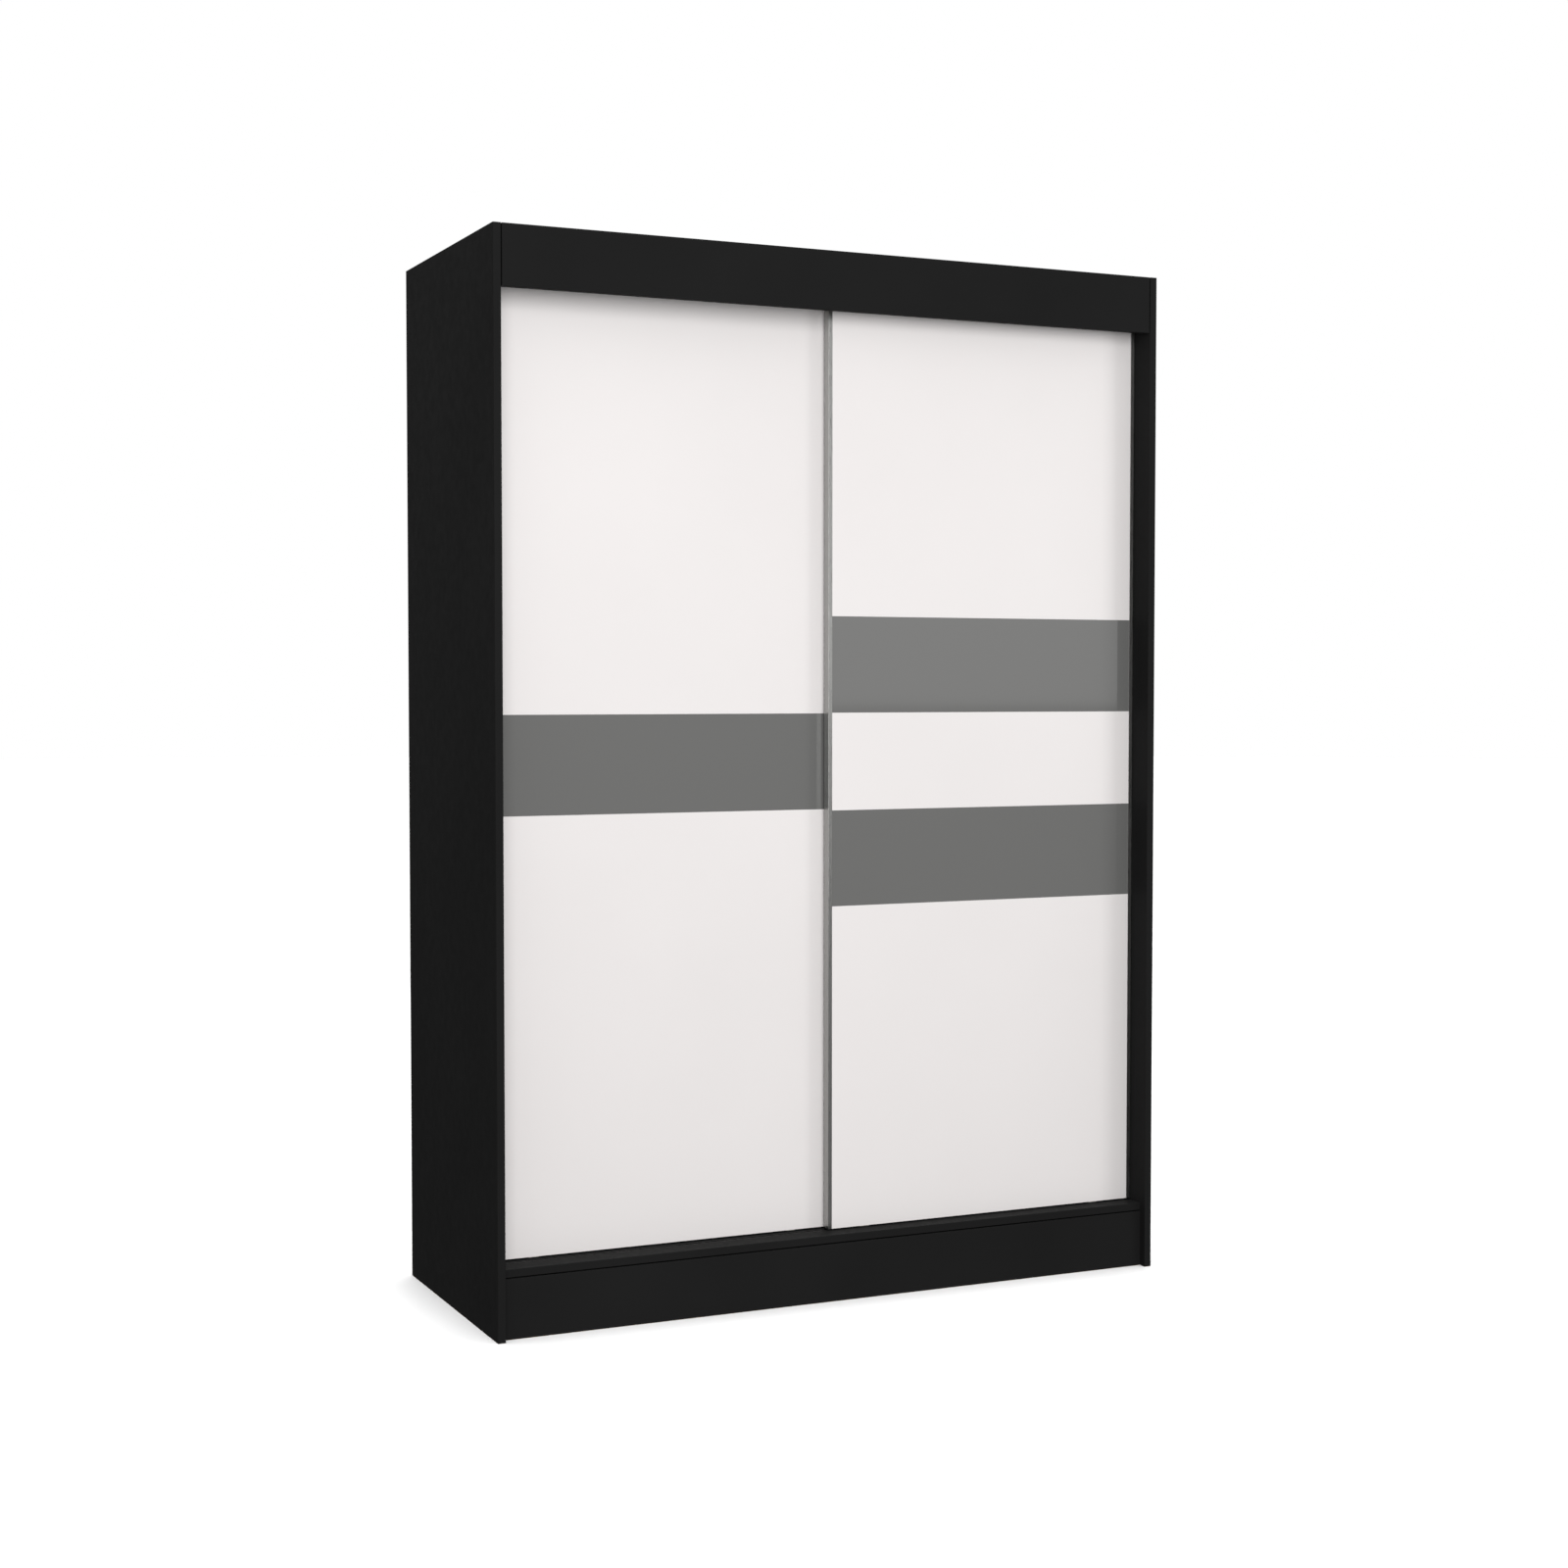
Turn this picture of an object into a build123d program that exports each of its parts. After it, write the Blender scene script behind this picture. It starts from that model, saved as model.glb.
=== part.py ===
from build123d import *
import os

# A free-standing wardrobe with two sliding doors, built board by board.
# Millimetres, +Z up. The doors face -Y and +X is to the right as seen from the front.
# The origin is on the floor, at the middle of the footprint.

os.makedirs("parts", exist_ok=True)

# ------------------------------------------------------------------ driving dimensions

# Whole carcass
WIDTH = 1500.0
DEPTH = 605.0
HEIGHT = 2160.0
BOARD = 16.0                # melamine-faced chipboard
EDGE_RADIUS = 1.0           # soft corners of the edge banding
BACK_SHEET = 3.0            # hardboard back
REAR_RELIEF = 1.0           # nail heads and the seam strip stand behind the back sheets
BACK_SHEET_LOW = 100.0      # lower edge of the back sheets over the floor

# Header board, bottom panel and plinths; a setback is measured from the front edges
FASCIA_HEIGHT = 120.0
FASCIA_END_GAP = 2.0
BASE_TOP = 138.5
BASE_SETBACK = 19.5
PLINTH_SETBACK = 19.0
PLINTH_TOP_GAP = 2.5
REAR_PLINTH_SETBACK = 560.0
FASCIA_BLOCK_XS = (-600.0, -200.0, 200.0, 600.0)
FRONT_PLINTH_BLOCK_XS = (-500.0, -180.0, 180.0, 500.0)
REAR_PLINTH_BLOCK_XS = (-400.0, 400.0)

# Divider and shelves; a shelf height is that of its underside
DIVIDER_SETBACK = 118.0
SHELF_SETBACK = 125.0
HAT_SHELF_HEIGHT = 1790.0
FIXED_SHELF_HEIGHT = 1110.0
LOOSE_SHELF_HEIGHTS = (430.0, 770.0, 1450.0, 1790.0)
LOOSE_SHELF_GAP = 1.5

# Sliding doors
DOOR_WIDTH = 743.0
DOOR_HEIGHT = 1956.0
DOOR_FLOOR_GAP = 3.0        # door's lower edge over the bottom panel
DOOR_SIDE_GAP = 0.6
DOOR_BOARD = 18.0
FRONT_DOOR_SETBACK = 61.0
DOOR_PITCH = 27.0           # from the front door's face to the rear door's face
STRIPE_HEIGHT = 200.0
STRIPE_PITCH = 403.0        # between the centres of the front door's two stripes
STRIPE_THICKNESS = 4.0

# Aluminium edge profile of a door, a U around the board's edge
PROFILE_WEB = 1.5
PROFILE_LIP = 1.25
PROFILE_REACH = 8.5
PROFILE_CORNER = 0.6
BRUSH_WIDTH = 4.8
BRUSH_DEPTH = 6.2
BRUSH_INSET = 1.8

# Bottom wheels, their housings and the rails that they run in
WHEEL_RADIUS = 13.0
WHEEL_WIDTH = 5.0
WHEEL_HUB_RADIUS = 5.5
WHEEL_HUB_WIDTH = 5.4
WHEEL_ROUNDING = 0.8
AXLE_RADIUS = 2.5
RUNNING_CLEARANCE = 0.06
TREAD_CLEARANCE = 0.3
WHEEL_INSET = 90.0          # wheel's centre from the door's edge
WHEEL_SETBACK = 12.0        # wheel's centre plane behind the door's face
POCKET_WIDTH = 64.0
POCKET_HEIGHT = 50.0
POCKET_DEPTH = 13.0
POCKET_CLEARANCE = 0.1
SLOT_CLEARANCE = 1.0
SLOT_WIDTH = 6.0
FLANGE_WIDTH = 92.0
FLANGE_THICKNESS = 2.0
FLANGE_SCREW_OFFSET = 39.0
FLANGE_SCREW_HEIGHT = 30.0
RAIL_WIDTH = 9.0
RAIL_HEIGHT = 6.5
RAIL_WALL = 1.1
RAIL_FLOOR = 1.2

# Top track and the guide rollers inside its two lanes
TRACK_HEIGHT = 38.0
TRACK_WALL = 1.5
TRACK_ROUNDING = 0.5
TRACK_END_GAP = 0.5
GUIDE_INSET = 60.0          # guide roller's centre from the door's edge
GUIDE_RADIUS = 12.0
GUIDE_THICKNESS = 8.0
GUIDE_LIFT = 14.5           # roller's underside over the door's top edge
GUIDE_PLATE_LENGTH = 46.0
GUIDE_PLATE_WIDTH = 16.0
GUIDE_PLATE_THICKNESS = 3.0
GUIDE_BOSS_RADIUS = 5.0
GUIDE_HEAD_RADIUS = 4.5
GUIDE_HEAD_THICKNESS = 1.5
GUIDE_END_PLAY = 0.3
GUIDE_SCREW_OFFSET = 16.0
STOP_CLEARANCE = 0.4
STOP_SIDE_CLEARANCE = 0.3
STOP_ROUNDING = 2.0
STOP_DROP = 4.0             # how far a stop reaches below the guide roller
TRACK_SCREWS_PER_LANE = 5
TRACK_SCREW_PITCH = 320.0

# Countersunk chipboard screw
SCREW_LENGTH = 14.0
SCREW_RADIUS = 1.75
SCREW_TIP = 2.0
SCREW_HEAD_RADIUS = 3.5
SCREW_HEAD_HEIGHT = 2.0
SCREW_CLEARANCE = 0.05
RECESS_LENGTH = 4.0
RECESS_WIDTH = 0.8
RECESS_DEPTH = 1.2
RECESS_TURNS = (0, 90)

# Knock-down fittings: connecting bolt, cam, dowel, corner block, shelf pin
CAM_INSET = 24.0
CAM_RADIUS = 7.5
CAM_DEPTH = 12.4
CAM_BORE_RADIUS = 3.8
CAM_BORE_LENGTH = 10.5
CAM_SLOT_TURNS = (45, 135)
CAM_SLOT = 1.4
BOLT_THREAD_RADIUS = 2.5
BOLT_THREAD_LENGTH = 10.0
BOLT_SHANK_RADIUS = 3.0
BOLT_HEAD_REACH = 2.0       # how far the bolt passes the cam's centre
BORE_CLEARANCE = 0.1
DOWEL_RADIUS = 4.0
DOWEL_IN_FACE = 10.0
DOWEL_IN_END = 20.0
DOWEL_CHAMFER = 1.0
BLOCK_LEG = 20.0
BLOCK_WALL = 3.0
BLOCK_LENGTH = 30.0
BLOCK_SCREW_REACH = 12.0
PIN_RADIUS = 2.45
PIN_IN_BOARD = 8.0
PIN_HOLE_DEPTH = 10.0
PIN_OUT = 7.0
PIN_COLLAR_RADIUS = 3.6
PIN_COLLAR = 1.2
PIN_SETBACKS = (175.0, 545.0)
PIN_HOLE_STEPS = (-32.0, 0.0, 32.0)    # a pin's own hole and the spare ones beside it

# Hanging rail and its end sockets
HANGING_RAIL_HEIGHT = 1735.0
HANGING_RAIL_SETBACK = 358.0
HANGING_RAIL_TALL = 30.0
HANGING_RAIL_THICK = 15.0
HANGING_RAIL_WALL = 1.2
SOCKET_BASE = 3.0
SOCKET_RIM = 12.0
SOCKET_WALL = 2.0
SOCKET_PLATE_TALL = 58.0
SOCKET_PLATE_WIDE = 24.0
SOCKET_SCREW_OFFSET = 22.0
SOCKET_CLEARANCE = 0.2

# Wall brackets, back nails and the seam strip
BRACKET_OFFSET = 600.0
BRACKET_LEG = 40.0
BRACKET_WALL = 2.0
BRACKET_WIDTH = 30.0
BRACKET_SCREW_REACH = 22.0
BRACKET_SCREW_OFFSET = 8.0
WALL_HOLE_RADIUS = 3.2
WALL_HOLE_DROP = 24.0
NAIL_RADIUS = 0.9
NAIL_LENGTH = 18.0
NAIL_HEAD_RADIUS = 2.5
NAIL_CLEARANCE = 0.05
NAIL_ROWS = 9
NAIL_PITCH = 240.0
NAIL_TOP_MARGIN = 48.0
EDGE_NAIL_OFFSETS = (130.0, 390.0, 660.0)
SHEET_SIDE_MARGIN = 2.0
SEAM_WEB = 2.4
SEAM_FLANGE = 16.0
SEAM_CLEARANCE = 0.2

# ------------------------------------------------------------------ derived positions

FRONT = -DEPTH / 2
REAR_EDGE = DEPTH / 2 - REAR_RELIEF - BACK_SHEET
INNER = WIDTH / 2 - BOARD
HALF_BOARD = BOARD / 2
UNDER_TOP = HEIGHT - BOARD
UNDER_BASE = BASE_TOP - BOARD
FASCIA_BACK_SETBACK = BOARD
PLINTH_BACK_SETBACK = PLINTH_SETBACK + BOARD
SEAM_FRONT = REAR_EDGE - REAR_RELIEF
DOOR_BOTTOM = BASE_TOP + DOOR_FLOOR_GAP
DOOR_TOP = DOOR_BOTTOM + DOOR_HEIGHT
DOOR_MIDDLE = (DOOR_BOTTOM + DOOR_TOP) / 2
PROFILE_DEPTH = DOOR_BOARD + 2 * PROFILE_LIP
REAR_DOOR_SETBACK = FRONT_DOOR_SETBACK + DOOR_PITCH
RAIL_RUN_HEIGHT = BASE_TOP - RAIL_HEIGHT + RAIL_FLOOR
WHEEL_HEIGHT = RAIL_RUN_HEIGHT + WHEEL_RADIUS + TREAD_CLEARANCE
GUIDE_BOTTOM = DOOR_TOP + GUIDE_LIFT
LANE_SETBACKS = (
    FRONT_DOOR_SETBACK + PROFILE_DEPTH / 2,
    REAR_DOOR_SETBACK + PROFILE_DEPTH / 2,
)
LANE_WIDTH = DOOR_PITCH - TRACK_WALL

RIGHTWARD = (1, 0, 0)
LEFTWARD = (-1, 0, 0)
BACKWARD = (0, 1, 0)
FORWARD = (0, -1, 0)
UPWARD = (0, 0, 1)
DOWNWARD = (0, 0, -1)


def behind(setback):
    """Y of a plane that lies this far behind the side panels' front edges."""
    return FRONT + setback


def save(finished, label):
    """Label a finished piece and write it to its own file."""
    finished.part.label = label
    export_step(finished.part, f"parts/{label}.step")


def blank(x_range, y_range, z_range, mode=Mode.ADD):
    """Add or cut the rectangular block that fills three ranges."""
    with BuildSketch(Plane.XY.offset(z_range[0])) as outline:
        with Locations((sum(x_range) / 2, sum(y_range) / 2)):
            Rectangle(x_range[1] - x_range[0], y_range[1] - y_range[0])
    extrude(outline.sketch, amount=z_range[1] - z_range[0], mode=mode)


def pocket(x_range, y_range, z_range):
    """Cut the rectangular block that fills three ranges out of the piece being built."""
    blank(x_range, y_range, z_range, Mode.SUBTRACT)


def place(piece, places):
    """Add a copy of a finished piece at each place."""
    with Locations(*places):
        add(piece.part)


def cut(cutter, places):
    """Cut a finished piece's shape at each place."""
    with Locations(*places):
        add(cutter.part, mode=Mode.SUBTRACT)


# ------------------------------------------------------------------ fastener shapes
# Each is drawn once about its own origin and copied to the places that hold it.


def turned(outline, axis):
    """Revolve a closed half-section, drawn on the XZ plane, about an axis."""
    with BuildSketch(Plane.XZ) as half_section:
        with BuildLine():
            Polyline(*outline, close=True)
        make_face()
    revolve(half_section.sketch, axis=axis)


def screw_outline(growth):
    """Half-section of the screw along -Z from its head's face, grown by a clearance."""
    return [
        (0, 0),
        (SCREW_HEAD_RADIUS + growth, 0),
        (SCREW_RADIUS + growth, -SCREW_HEAD_HEIGHT),
        (SCREW_RADIUS + growth, -SCREW_LENGTH + SCREW_TIP),
        (0, -SCREW_LENGTH - growth),
    ]


with BuildPart() as screw:
    turned(screw_outline(0), Axis.Z)
    for turn in RECESS_TURNS:
        with Locations(Location((0, 0, 0), (0, 0, turn))):
            Box(
                RECESS_LENGTH,
                RECESS_WIDTH,
                RECESS_DEPTH,
                align=(Align.CENTER, Align.CENTER, Align.MAX),
                mode=Mode.SUBTRACT,
            )

with BuildPart() as screw_bore:
    turned(screw_outline(SCREW_CLEARANCE), Axis.Z)

# Nail along -Z: its head's underside is at the origin
with BuildPart() as nail:
    turned(
        [
            (0, REAR_RELIEF),
            (NAIL_HEAD_RADIUS, REAR_RELIEF),
            (NAIL_HEAD_RADIUS, 0),
            (NAIL_RADIUS, 0),
            (NAIL_RADIUS, -NAIL_LENGTH + 2 * NAIL_RADIUS),
            (0, -NAIL_LENGTH),
        ],
        Axis.Z,
    )

with BuildPart() as nail_bore:
    Cylinder(
        NAIL_RADIUS + NAIL_CLEARANCE,
        NAIL_LENGTH + NAIL_CLEARANCE,
        align=(Align.CENTER, Align.CENTER, Align.MAX),
    )

# Connecting bolt along +X: its thread is in the face of one board (X below 0),
# its shank in the end of the other, where the cam grips it
with BuildPart() as bolt:
    turned(
        [
            (-BOLT_THREAD_LENGTH, 0),
            (-BOLT_THREAD_LENGTH, BOLT_THREAD_RADIUS),
            (0, BOLT_THREAD_RADIUS),
            (0, BOLT_SHANK_RADIUS),
            (CAM_INSET + BOLT_HEAD_REACH, BOLT_SHANK_RADIUS),
            (CAM_INSET + BOLT_HEAD_REACH, 0),
        ],
        Axis.X,
    )

with BuildPart() as bolt_bore:
    turned(
        [
            (-BOLT_THREAD_LENGTH - BORE_CLEARANCE, 0),
            (-BOLT_THREAD_LENGTH - BORE_CLEARANCE, BOLT_THREAD_RADIUS + BORE_CLEARANCE),
            (0, BOLT_THREAD_RADIUS + BORE_CLEARANCE),
            (0, BOLT_SHANK_RADIUS + BORE_CLEARANCE),
            (CAM_INSET, BOLT_SHANK_RADIUS + BORE_CLEARANCE),
            (CAM_INSET, 0),
        ],
        Axis.X,
    )

# Cam in the board that takes the shank, let in from the face on its local -Z side
with BuildPart() as cam:
    with Locations((CAM_INSET, 0, -HALF_BOARD)):
        Cylinder(CAM_RADIUS, CAM_DEPTH, align=(Align.CENTER, Align.CENTER, Align.MIN))
    with Locations(Location((CAM_INSET - CAM_RADIUS, 0, 0), (0, 90, 0))):
        Cylinder(
            CAM_BORE_RADIUS,
            CAM_BORE_LENGTH,
            align=(Align.CENTER, Align.CENTER, Align.MIN),
            mode=Mode.SUBTRACT,
        )
    for turn in CAM_SLOT_TURNS:
        with Locations(Location((CAM_INSET, 0, -HALF_BOARD), (0, 0, turn))):
            Box(
                CAM_RADIUS,
                CAM_SLOT,
                CAM_SLOT,
                align=(Align.CENTER, Align.CENTER, Align.MIN),
                mode=Mode.SUBTRACT,
            )

with BuildPart() as cam_bore:
    with Locations((CAM_INSET, 0, -HALF_BOARD)):
        Cylinder(
            CAM_RADIUS + BORE_CLEARANCE,
            CAM_DEPTH + BORE_CLEARANCE,
            align=(Align.CENTER, Align.CENTER, Align.MIN),
        )

# Dowel along +X, across the same kind of joint
with BuildPart() as dowel:
    with Locations(Location((-DOWEL_IN_FACE, 0, 0), (0, 90, 0))):
        Cylinder(
            DOWEL_RADIUS,
            DOWEL_IN_FACE + DOWEL_IN_END,
            align=(Align.CENTER, Align.CENTER, Align.MIN),
        )
    chamfer(dowel.edges().filter_by(GeomType.CIRCLE), DOWEL_CHAMFER)

with BuildPart() as dowel_bore:
    with Locations(Location((-DOWEL_IN_FACE - BORE_CLEARANCE, 0, 0), (0, 90, 0))):
        Cylinder(
            DOWEL_RADIUS + SCREW_CLEARANCE,
            DOWEL_IN_FACE + DOWEL_IN_END + 2 * BORE_CLEARANCE,
            align=(Align.CENTER, Align.CENTER, Align.MIN),
        )

# Shelf pin along +X out of a board's face, with a collar against the face
with BuildPart() as pin:
    turned(
        [
            (-PIN_IN_BOARD, 0),
            (-PIN_IN_BOARD, PIN_RADIUS),
            (0, PIN_RADIUS),
            (0, PIN_COLLAR_RADIUS),
            (PIN_COLLAR, PIN_COLLAR_RADIUS),
            (PIN_COLLAR, PIN_RADIUS),
            (PIN_OUT, PIN_RADIUS),
            (PIN_OUT, 0),
        ],
        Axis.X,
    )

with BuildPart() as pin_bore:
    with Locations(Location((0, 0, 0), (0, -90, 0))):
        Cylinder(
            PIN_RADIUS + SCREW_CLEARANCE,
            PIN_HOLE_DEPTH,
            align=(Align.CENTER, Align.CENTER, Align.MIN),
        )

# Corner block in the XY corner of its own frame, one leg along each axis
with BuildPart() as block:
    with BuildSketch(Plane.XY.offset(-BLOCK_LENGTH / 2)):
        Rectangle(BLOCK_LEG, BLOCK_WALL, align=(Align.MIN, Align.MIN))
        Rectangle(BLOCK_WALL, BLOCK_LEG, align=(Align.MIN, Align.MIN))
    extrude(amount=BLOCK_LENGTH)
    upright_edges = block.edges().filter_by(Axis.Z)
    inner_corner = upright_edges.sort_by_distance((BLOCK_WALL, BLOCK_WALL, 0))[:1]
    fillet(inner_corner, BLOCK_WALL / 2)

BLOCK_SCREWS = (
    Location((BLOCK_SCREW_REACH, BLOCK_WALL, 0), (-90, 0, 0)),
    Location((BLOCK_WALL, BLOCK_SCREW_REACH, 0), (0, 90, 0)),
)

# ------------------------------------------------------------------ where the fasteners go


def joint(x, setback, z, into, up=UPWARD):
    """Frame of a board joint: X into the board with the cam, Z away from the cam's face."""
    return Plane(origin=(x, behind(setback), z), x_dir=into, z_dir=up)


def level_joints(left, right, middle, setbacks):
    """Joints at both ends of a level board whose mid-plane is at height middle."""
    left_end = [joint(left, setback, middle, RIGHTWARD) for setback in setbacks]
    right_end = [joint(right, setback, middle, LEFTWARD) for setback in setbacks]
    return left_end + right_end


def upright_joints(setbacks):
    """Joints at the divider's lower and upper ends."""
    lower = [joint(0, setback, BASE_TOP, UPWARD, LEFTWARD) for setback in setbacks]
    upper = [joint(0, setback, UNDER_TOP, DOWNWARD, LEFTWARD) for setback in setbacks]
    return lower + upper


CAM_SETBACKS = (170.0, 530.0)
BASE_CAM_SETBACKS = (45.0, 300.0, 530.0)
DOWEL_SETBACKS = (202.0, 498.0)

top_middle = HEIGHT - HALF_BOARD
base_middle = BASE_TOP - HALF_BOARD
hat_middle = HAT_SHELF_HEIGHT + HALF_BOARD
fixed_middle = FIXED_SHELF_HEIGHT + HALF_BOARD

top_joints = level_joints(-INNER, INNER, top_middle, CAM_SETBACKS)
base_joints = level_joints(-INNER, INNER, base_middle, BASE_CAM_SETBACKS)
hat_joints = level_joints(-INNER, -HALF_BOARD, hat_middle, CAM_SETBACKS)
fixed_joints = level_joints(HALF_BOARD, INNER, fixed_middle, CAM_SETBACKS)
divider_joints = upright_joints(CAM_SETBACKS)
all_joints = top_joints + base_joints + hat_joints + fixed_joints + divider_joints

top_dowels = level_joints(-INNER, INNER, top_middle, DOWEL_SETBACKS)
base_dowels = level_joints(-INNER, INNER, base_middle, DOWEL_SETBACKS)
hat_dowels = level_joints(-INNER, -HALF_BOARD, hat_middle, DOWEL_SETBACKS)
fixed_dowels = level_joints(HALF_BOARD, INNER, fixed_middle, DOWEL_SETBACKS)
divider_dowels = upright_joints(DOWEL_SETBACKS)
all_dowels = top_dowels + base_dowels + hat_dowels + fixed_dowels + divider_dowels

# Corner blocks: under the top panel behind the fascia, under the bottom panel behind
# and in front of the plinths, and upright between the plinths and the side panels
fascia_blocks = [
    Plane(origin=(x, behind(FASCIA_BACK_SETBACK), UNDER_TOP), x_dir=BACKWARD, z_dir=LEFTWARD)
    for x in FASCIA_BLOCK_XS
]
front_plinth_blocks = [
    Plane(origin=(x, behind(PLINTH_BACK_SETBACK), UNDER_BASE), x_dir=BACKWARD, z_dir=LEFTWARD)
    for x in FRONT_PLINTH_BLOCK_XS
]
rear_plinth_blocks = [
    Plane(origin=(x, behind(REAR_PLINTH_SETBACK), UNDER_BASE), x_dir=FORWARD, z_dir=RIGHTWARD)
    for x in REAR_PLINTH_BLOCK_XS
]
BLOCK_HEIGHT = UNDER_BASE / 2
side_blocks = [
    Plane(origin=(-INNER, behind(PLINTH_BACK_SETBACK), BLOCK_HEIGHT), x_dir=RIGHTWARD),
    Plane(origin=(INNER, behind(PLINTH_BACK_SETBACK), BLOCK_HEIGHT), x_dir=BACKWARD),
    Plane(origin=(-INNER, behind(REAR_PLINTH_SETBACK), BLOCK_HEIGHT), x_dir=FORWARD),
    Plane(origin=(INNER, behind(REAR_PLINTH_SETBACK), BLOCK_HEIGHT), x_dir=LEFTWARD),
]
all_blocks = fascia_blocks + front_plinth_blocks + rear_plinth_blocks + side_blocks
block_screws = [plane.location * local for plane in all_blocks for local in BLOCK_SCREWS]

# Wall brackets in the top rear corners of the carcass, and their screws
bracket_planes = [
    Plane(origin=(x, REAR_EDGE, UNDER_TOP), x_dir=FORWARD, z_dir=RIGHTWARD)
    for x in (-BRACKET_OFFSET, BRACKET_OFFSET)
]
bracket_screws = [
    plane.location * Location((BRACKET_SCREW_REACH, BRACKET_WALL, side), (-90, 0, 0))
    for plane in bracket_planes
    for side in (-BRACKET_SCREW_OFFSET, BRACKET_SCREW_OFFSET)
]

# Screws of the hanging rail's sockets, into the left side panel and the divider
rail_y = behind(HANGING_RAIL_SETBACK)
socket_screws = []
for offset in (-SOCKET_SCREW_OFFSET, SOCKET_SCREW_OFFSET):
    screw_z = HANGING_RAIL_HEIGHT + offset
    socket_screws.append(Location((-INNER + SOCKET_BASE, rail_y, screw_z), (0, 90, 0)))
    socket_screws.append(Location((-HALF_BOARD - SOCKET_BASE, rail_y, screw_z), (0, -90, 0)))

# Track screws, up through the track's web into the top panel
track_screw_places = [
    Location((index * TRACK_SCREW_PITCH, behind(lane), UNDER_TOP - TRACK_WALL), (180, 0, 0))
    for lane in LANE_SETBACKS
    for index in range(-(TRACK_SCREWS_PER_LANE // 2), TRACK_SCREWS_PER_LANE // 2 + 1)
]

# Shelf pins and the spare holes above and below them
pin_places = []
pin_hole_places = []
for height in LOOSE_SHELF_HEIGHTS:
    for setback in PIN_SETBACKS:
        for face, out in ((HALF_BOARD, RIGHTWARD), (INNER, LEFTWARD)):
            for step in PIN_HOLE_STEPS:
                hole = joint(face, setback, height - PIN_RADIUS + step, out)
                pin_hole_places.append(hole)
                if step == 0:
                    pin_places.append(hole)

# Nails along the outer edges of the back sheets
nail_x = WIDTH / 2 - HALF_BOARD
sheet_rear = REAR_EDGE + BACK_SHEET
nail_places = []
for side in (-1, 1):
    for row in range(NAIL_ROWS):
        nail_z = HEIGHT - NAIL_TOP_MARGIN - row * NAIL_PITCH
        nail_places.append(Location((side * nail_x, sheet_rear, nail_z), (-90, 0, 0)))
    for offset in EDGE_NAIL_OFFSETS:
        for edge_z in (top_middle, base_middle):
            nail_places.append(Location((side * offset, sheet_rear, edge_z), (-90, 0, 0)))

# ------------------------------------------------------------------ carcass boards

for side, label in ((-1, "side_panel_left"), (1, "side_panel_right")):
    inside = side * INNER
    outside = side * WIDTH / 2
    with BuildPart() as side_panel:
        blank(sorted((inside, outside)), (FRONT, REAR_EDGE), (0, HEIGHT))
        fillet(side_panel.edges().filter_by(Axis.Z).group_by(Axis.Y)[0], EDGE_RADIUS)
        cut(bolt_bore, all_joints)
        cut(dowel_bore, all_dowels)
        cut(screw_bore, block_screws + socket_screws)
        cut(pin_bore, pin_hole_places)
        cut(nail_bore, nail_places)
    save(side_panel, label)

with BuildPart() as top_panel:
    blank((-INNER, INNER), (behind(FASCIA_BACK_SETBACK), REAR_EDGE), (UNDER_TOP, HEIGHT))
    cut(bolt_bore, top_joints + divider_joints)
    cut(cam_bore, top_joints)
    cut(dowel_bore, top_dowels + divider_dowels)
    cut(screw_bore, block_screws + bracket_screws + track_screw_places)
    cut(nail_bore, nail_places)
save(top_panel, "top_panel")

with BuildPart() as fascia_board:
    blank(
        (-INNER + FASCIA_END_GAP, INNER - FASCIA_END_GAP),
        (FRONT, behind(FASCIA_BACK_SETBACK)),
        (HEIGHT - FASCIA_HEIGHT, HEIGHT),
    )
    front_edges = fascia_board.faces().sort_by(Axis.Y)[0].edges()
    lower_edges = fascia_board.edges().filter_by(Axis.X).group_by(Axis.Z)[0]
    fillet(front_edges + lower_edges.sort_by(Axis.Y)[-1:], EDGE_RADIUS)
    cut(screw_bore, block_screws)
save(fascia_board, "fascia_board")

wheel_lanes = (FRONT_DOOR_SETBACK + WHEEL_SETBACK, REAR_DOOR_SETBACK + WHEEL_SETBACK)

with BuildPart() as bottom_panel:
    blank((-INNER, INNER), (behind(BASE_SETBACK), REAR_EDGE), (UNDER_BASE, BASE_TOP))
    fillet(bottom_panel.edges().filter_by(Axis.X).group_by(Axis.Y)[0], EDGE_RADIUS)
    for lane in wheel_lanes:
        pocket(
            (-INNER, INNER),
            (behind(lane - RAIL_WIDTH / 2), behind(lane + RAIL_WIDTH / 2)),
            (BASE_TOP - RAIL_HEIGHT, BASE_TOP),
        )
    cut(bolt_bore, base_joints + divider_joints)
    cut(cam_bore, base_joints)
    cut(dowel_bore, base_dowels + divider_dowels)
    cut(screw_bore, block_screws)
    cut(nail_bore, nail_places)
save(bottom_panel, "bottom_panel")

PLINTHS = (("plinth_front", PLINTH_SETBACK), ("plinth_rear", REAR_PLINTH_SETBACK))

for label, setback in PLINTHS:
    with BuildPart() as plinth:
        blank(
            (-INNER, INNER),
            (behind(setback), behind(setback + BOARD)),
            (0, UNDER_BASE - PLINTH_TOP_GAP),
        )
        upper_edges = plinth.edges().filter_by(Axis.X).group_by(Axis.Z)[-1]
        fillet(upper_edges.sort_by(Axis.Y)[:1], EDGE_RADIUS)
        cut(screw_bore, block_screws)
    save(plinth, label)

with BuildPart() as plinth_centre_support:
    blank(
        (-HALF_BOARD, HALF_BOARD),
        (behind(PLINTH_BACK_SETBACK), behind(REAR_PLINTH_SETBACK)),
        (0, UNDER_BASE),
    )
save(plinth_centre_support, "plinth_centre_support")

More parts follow.
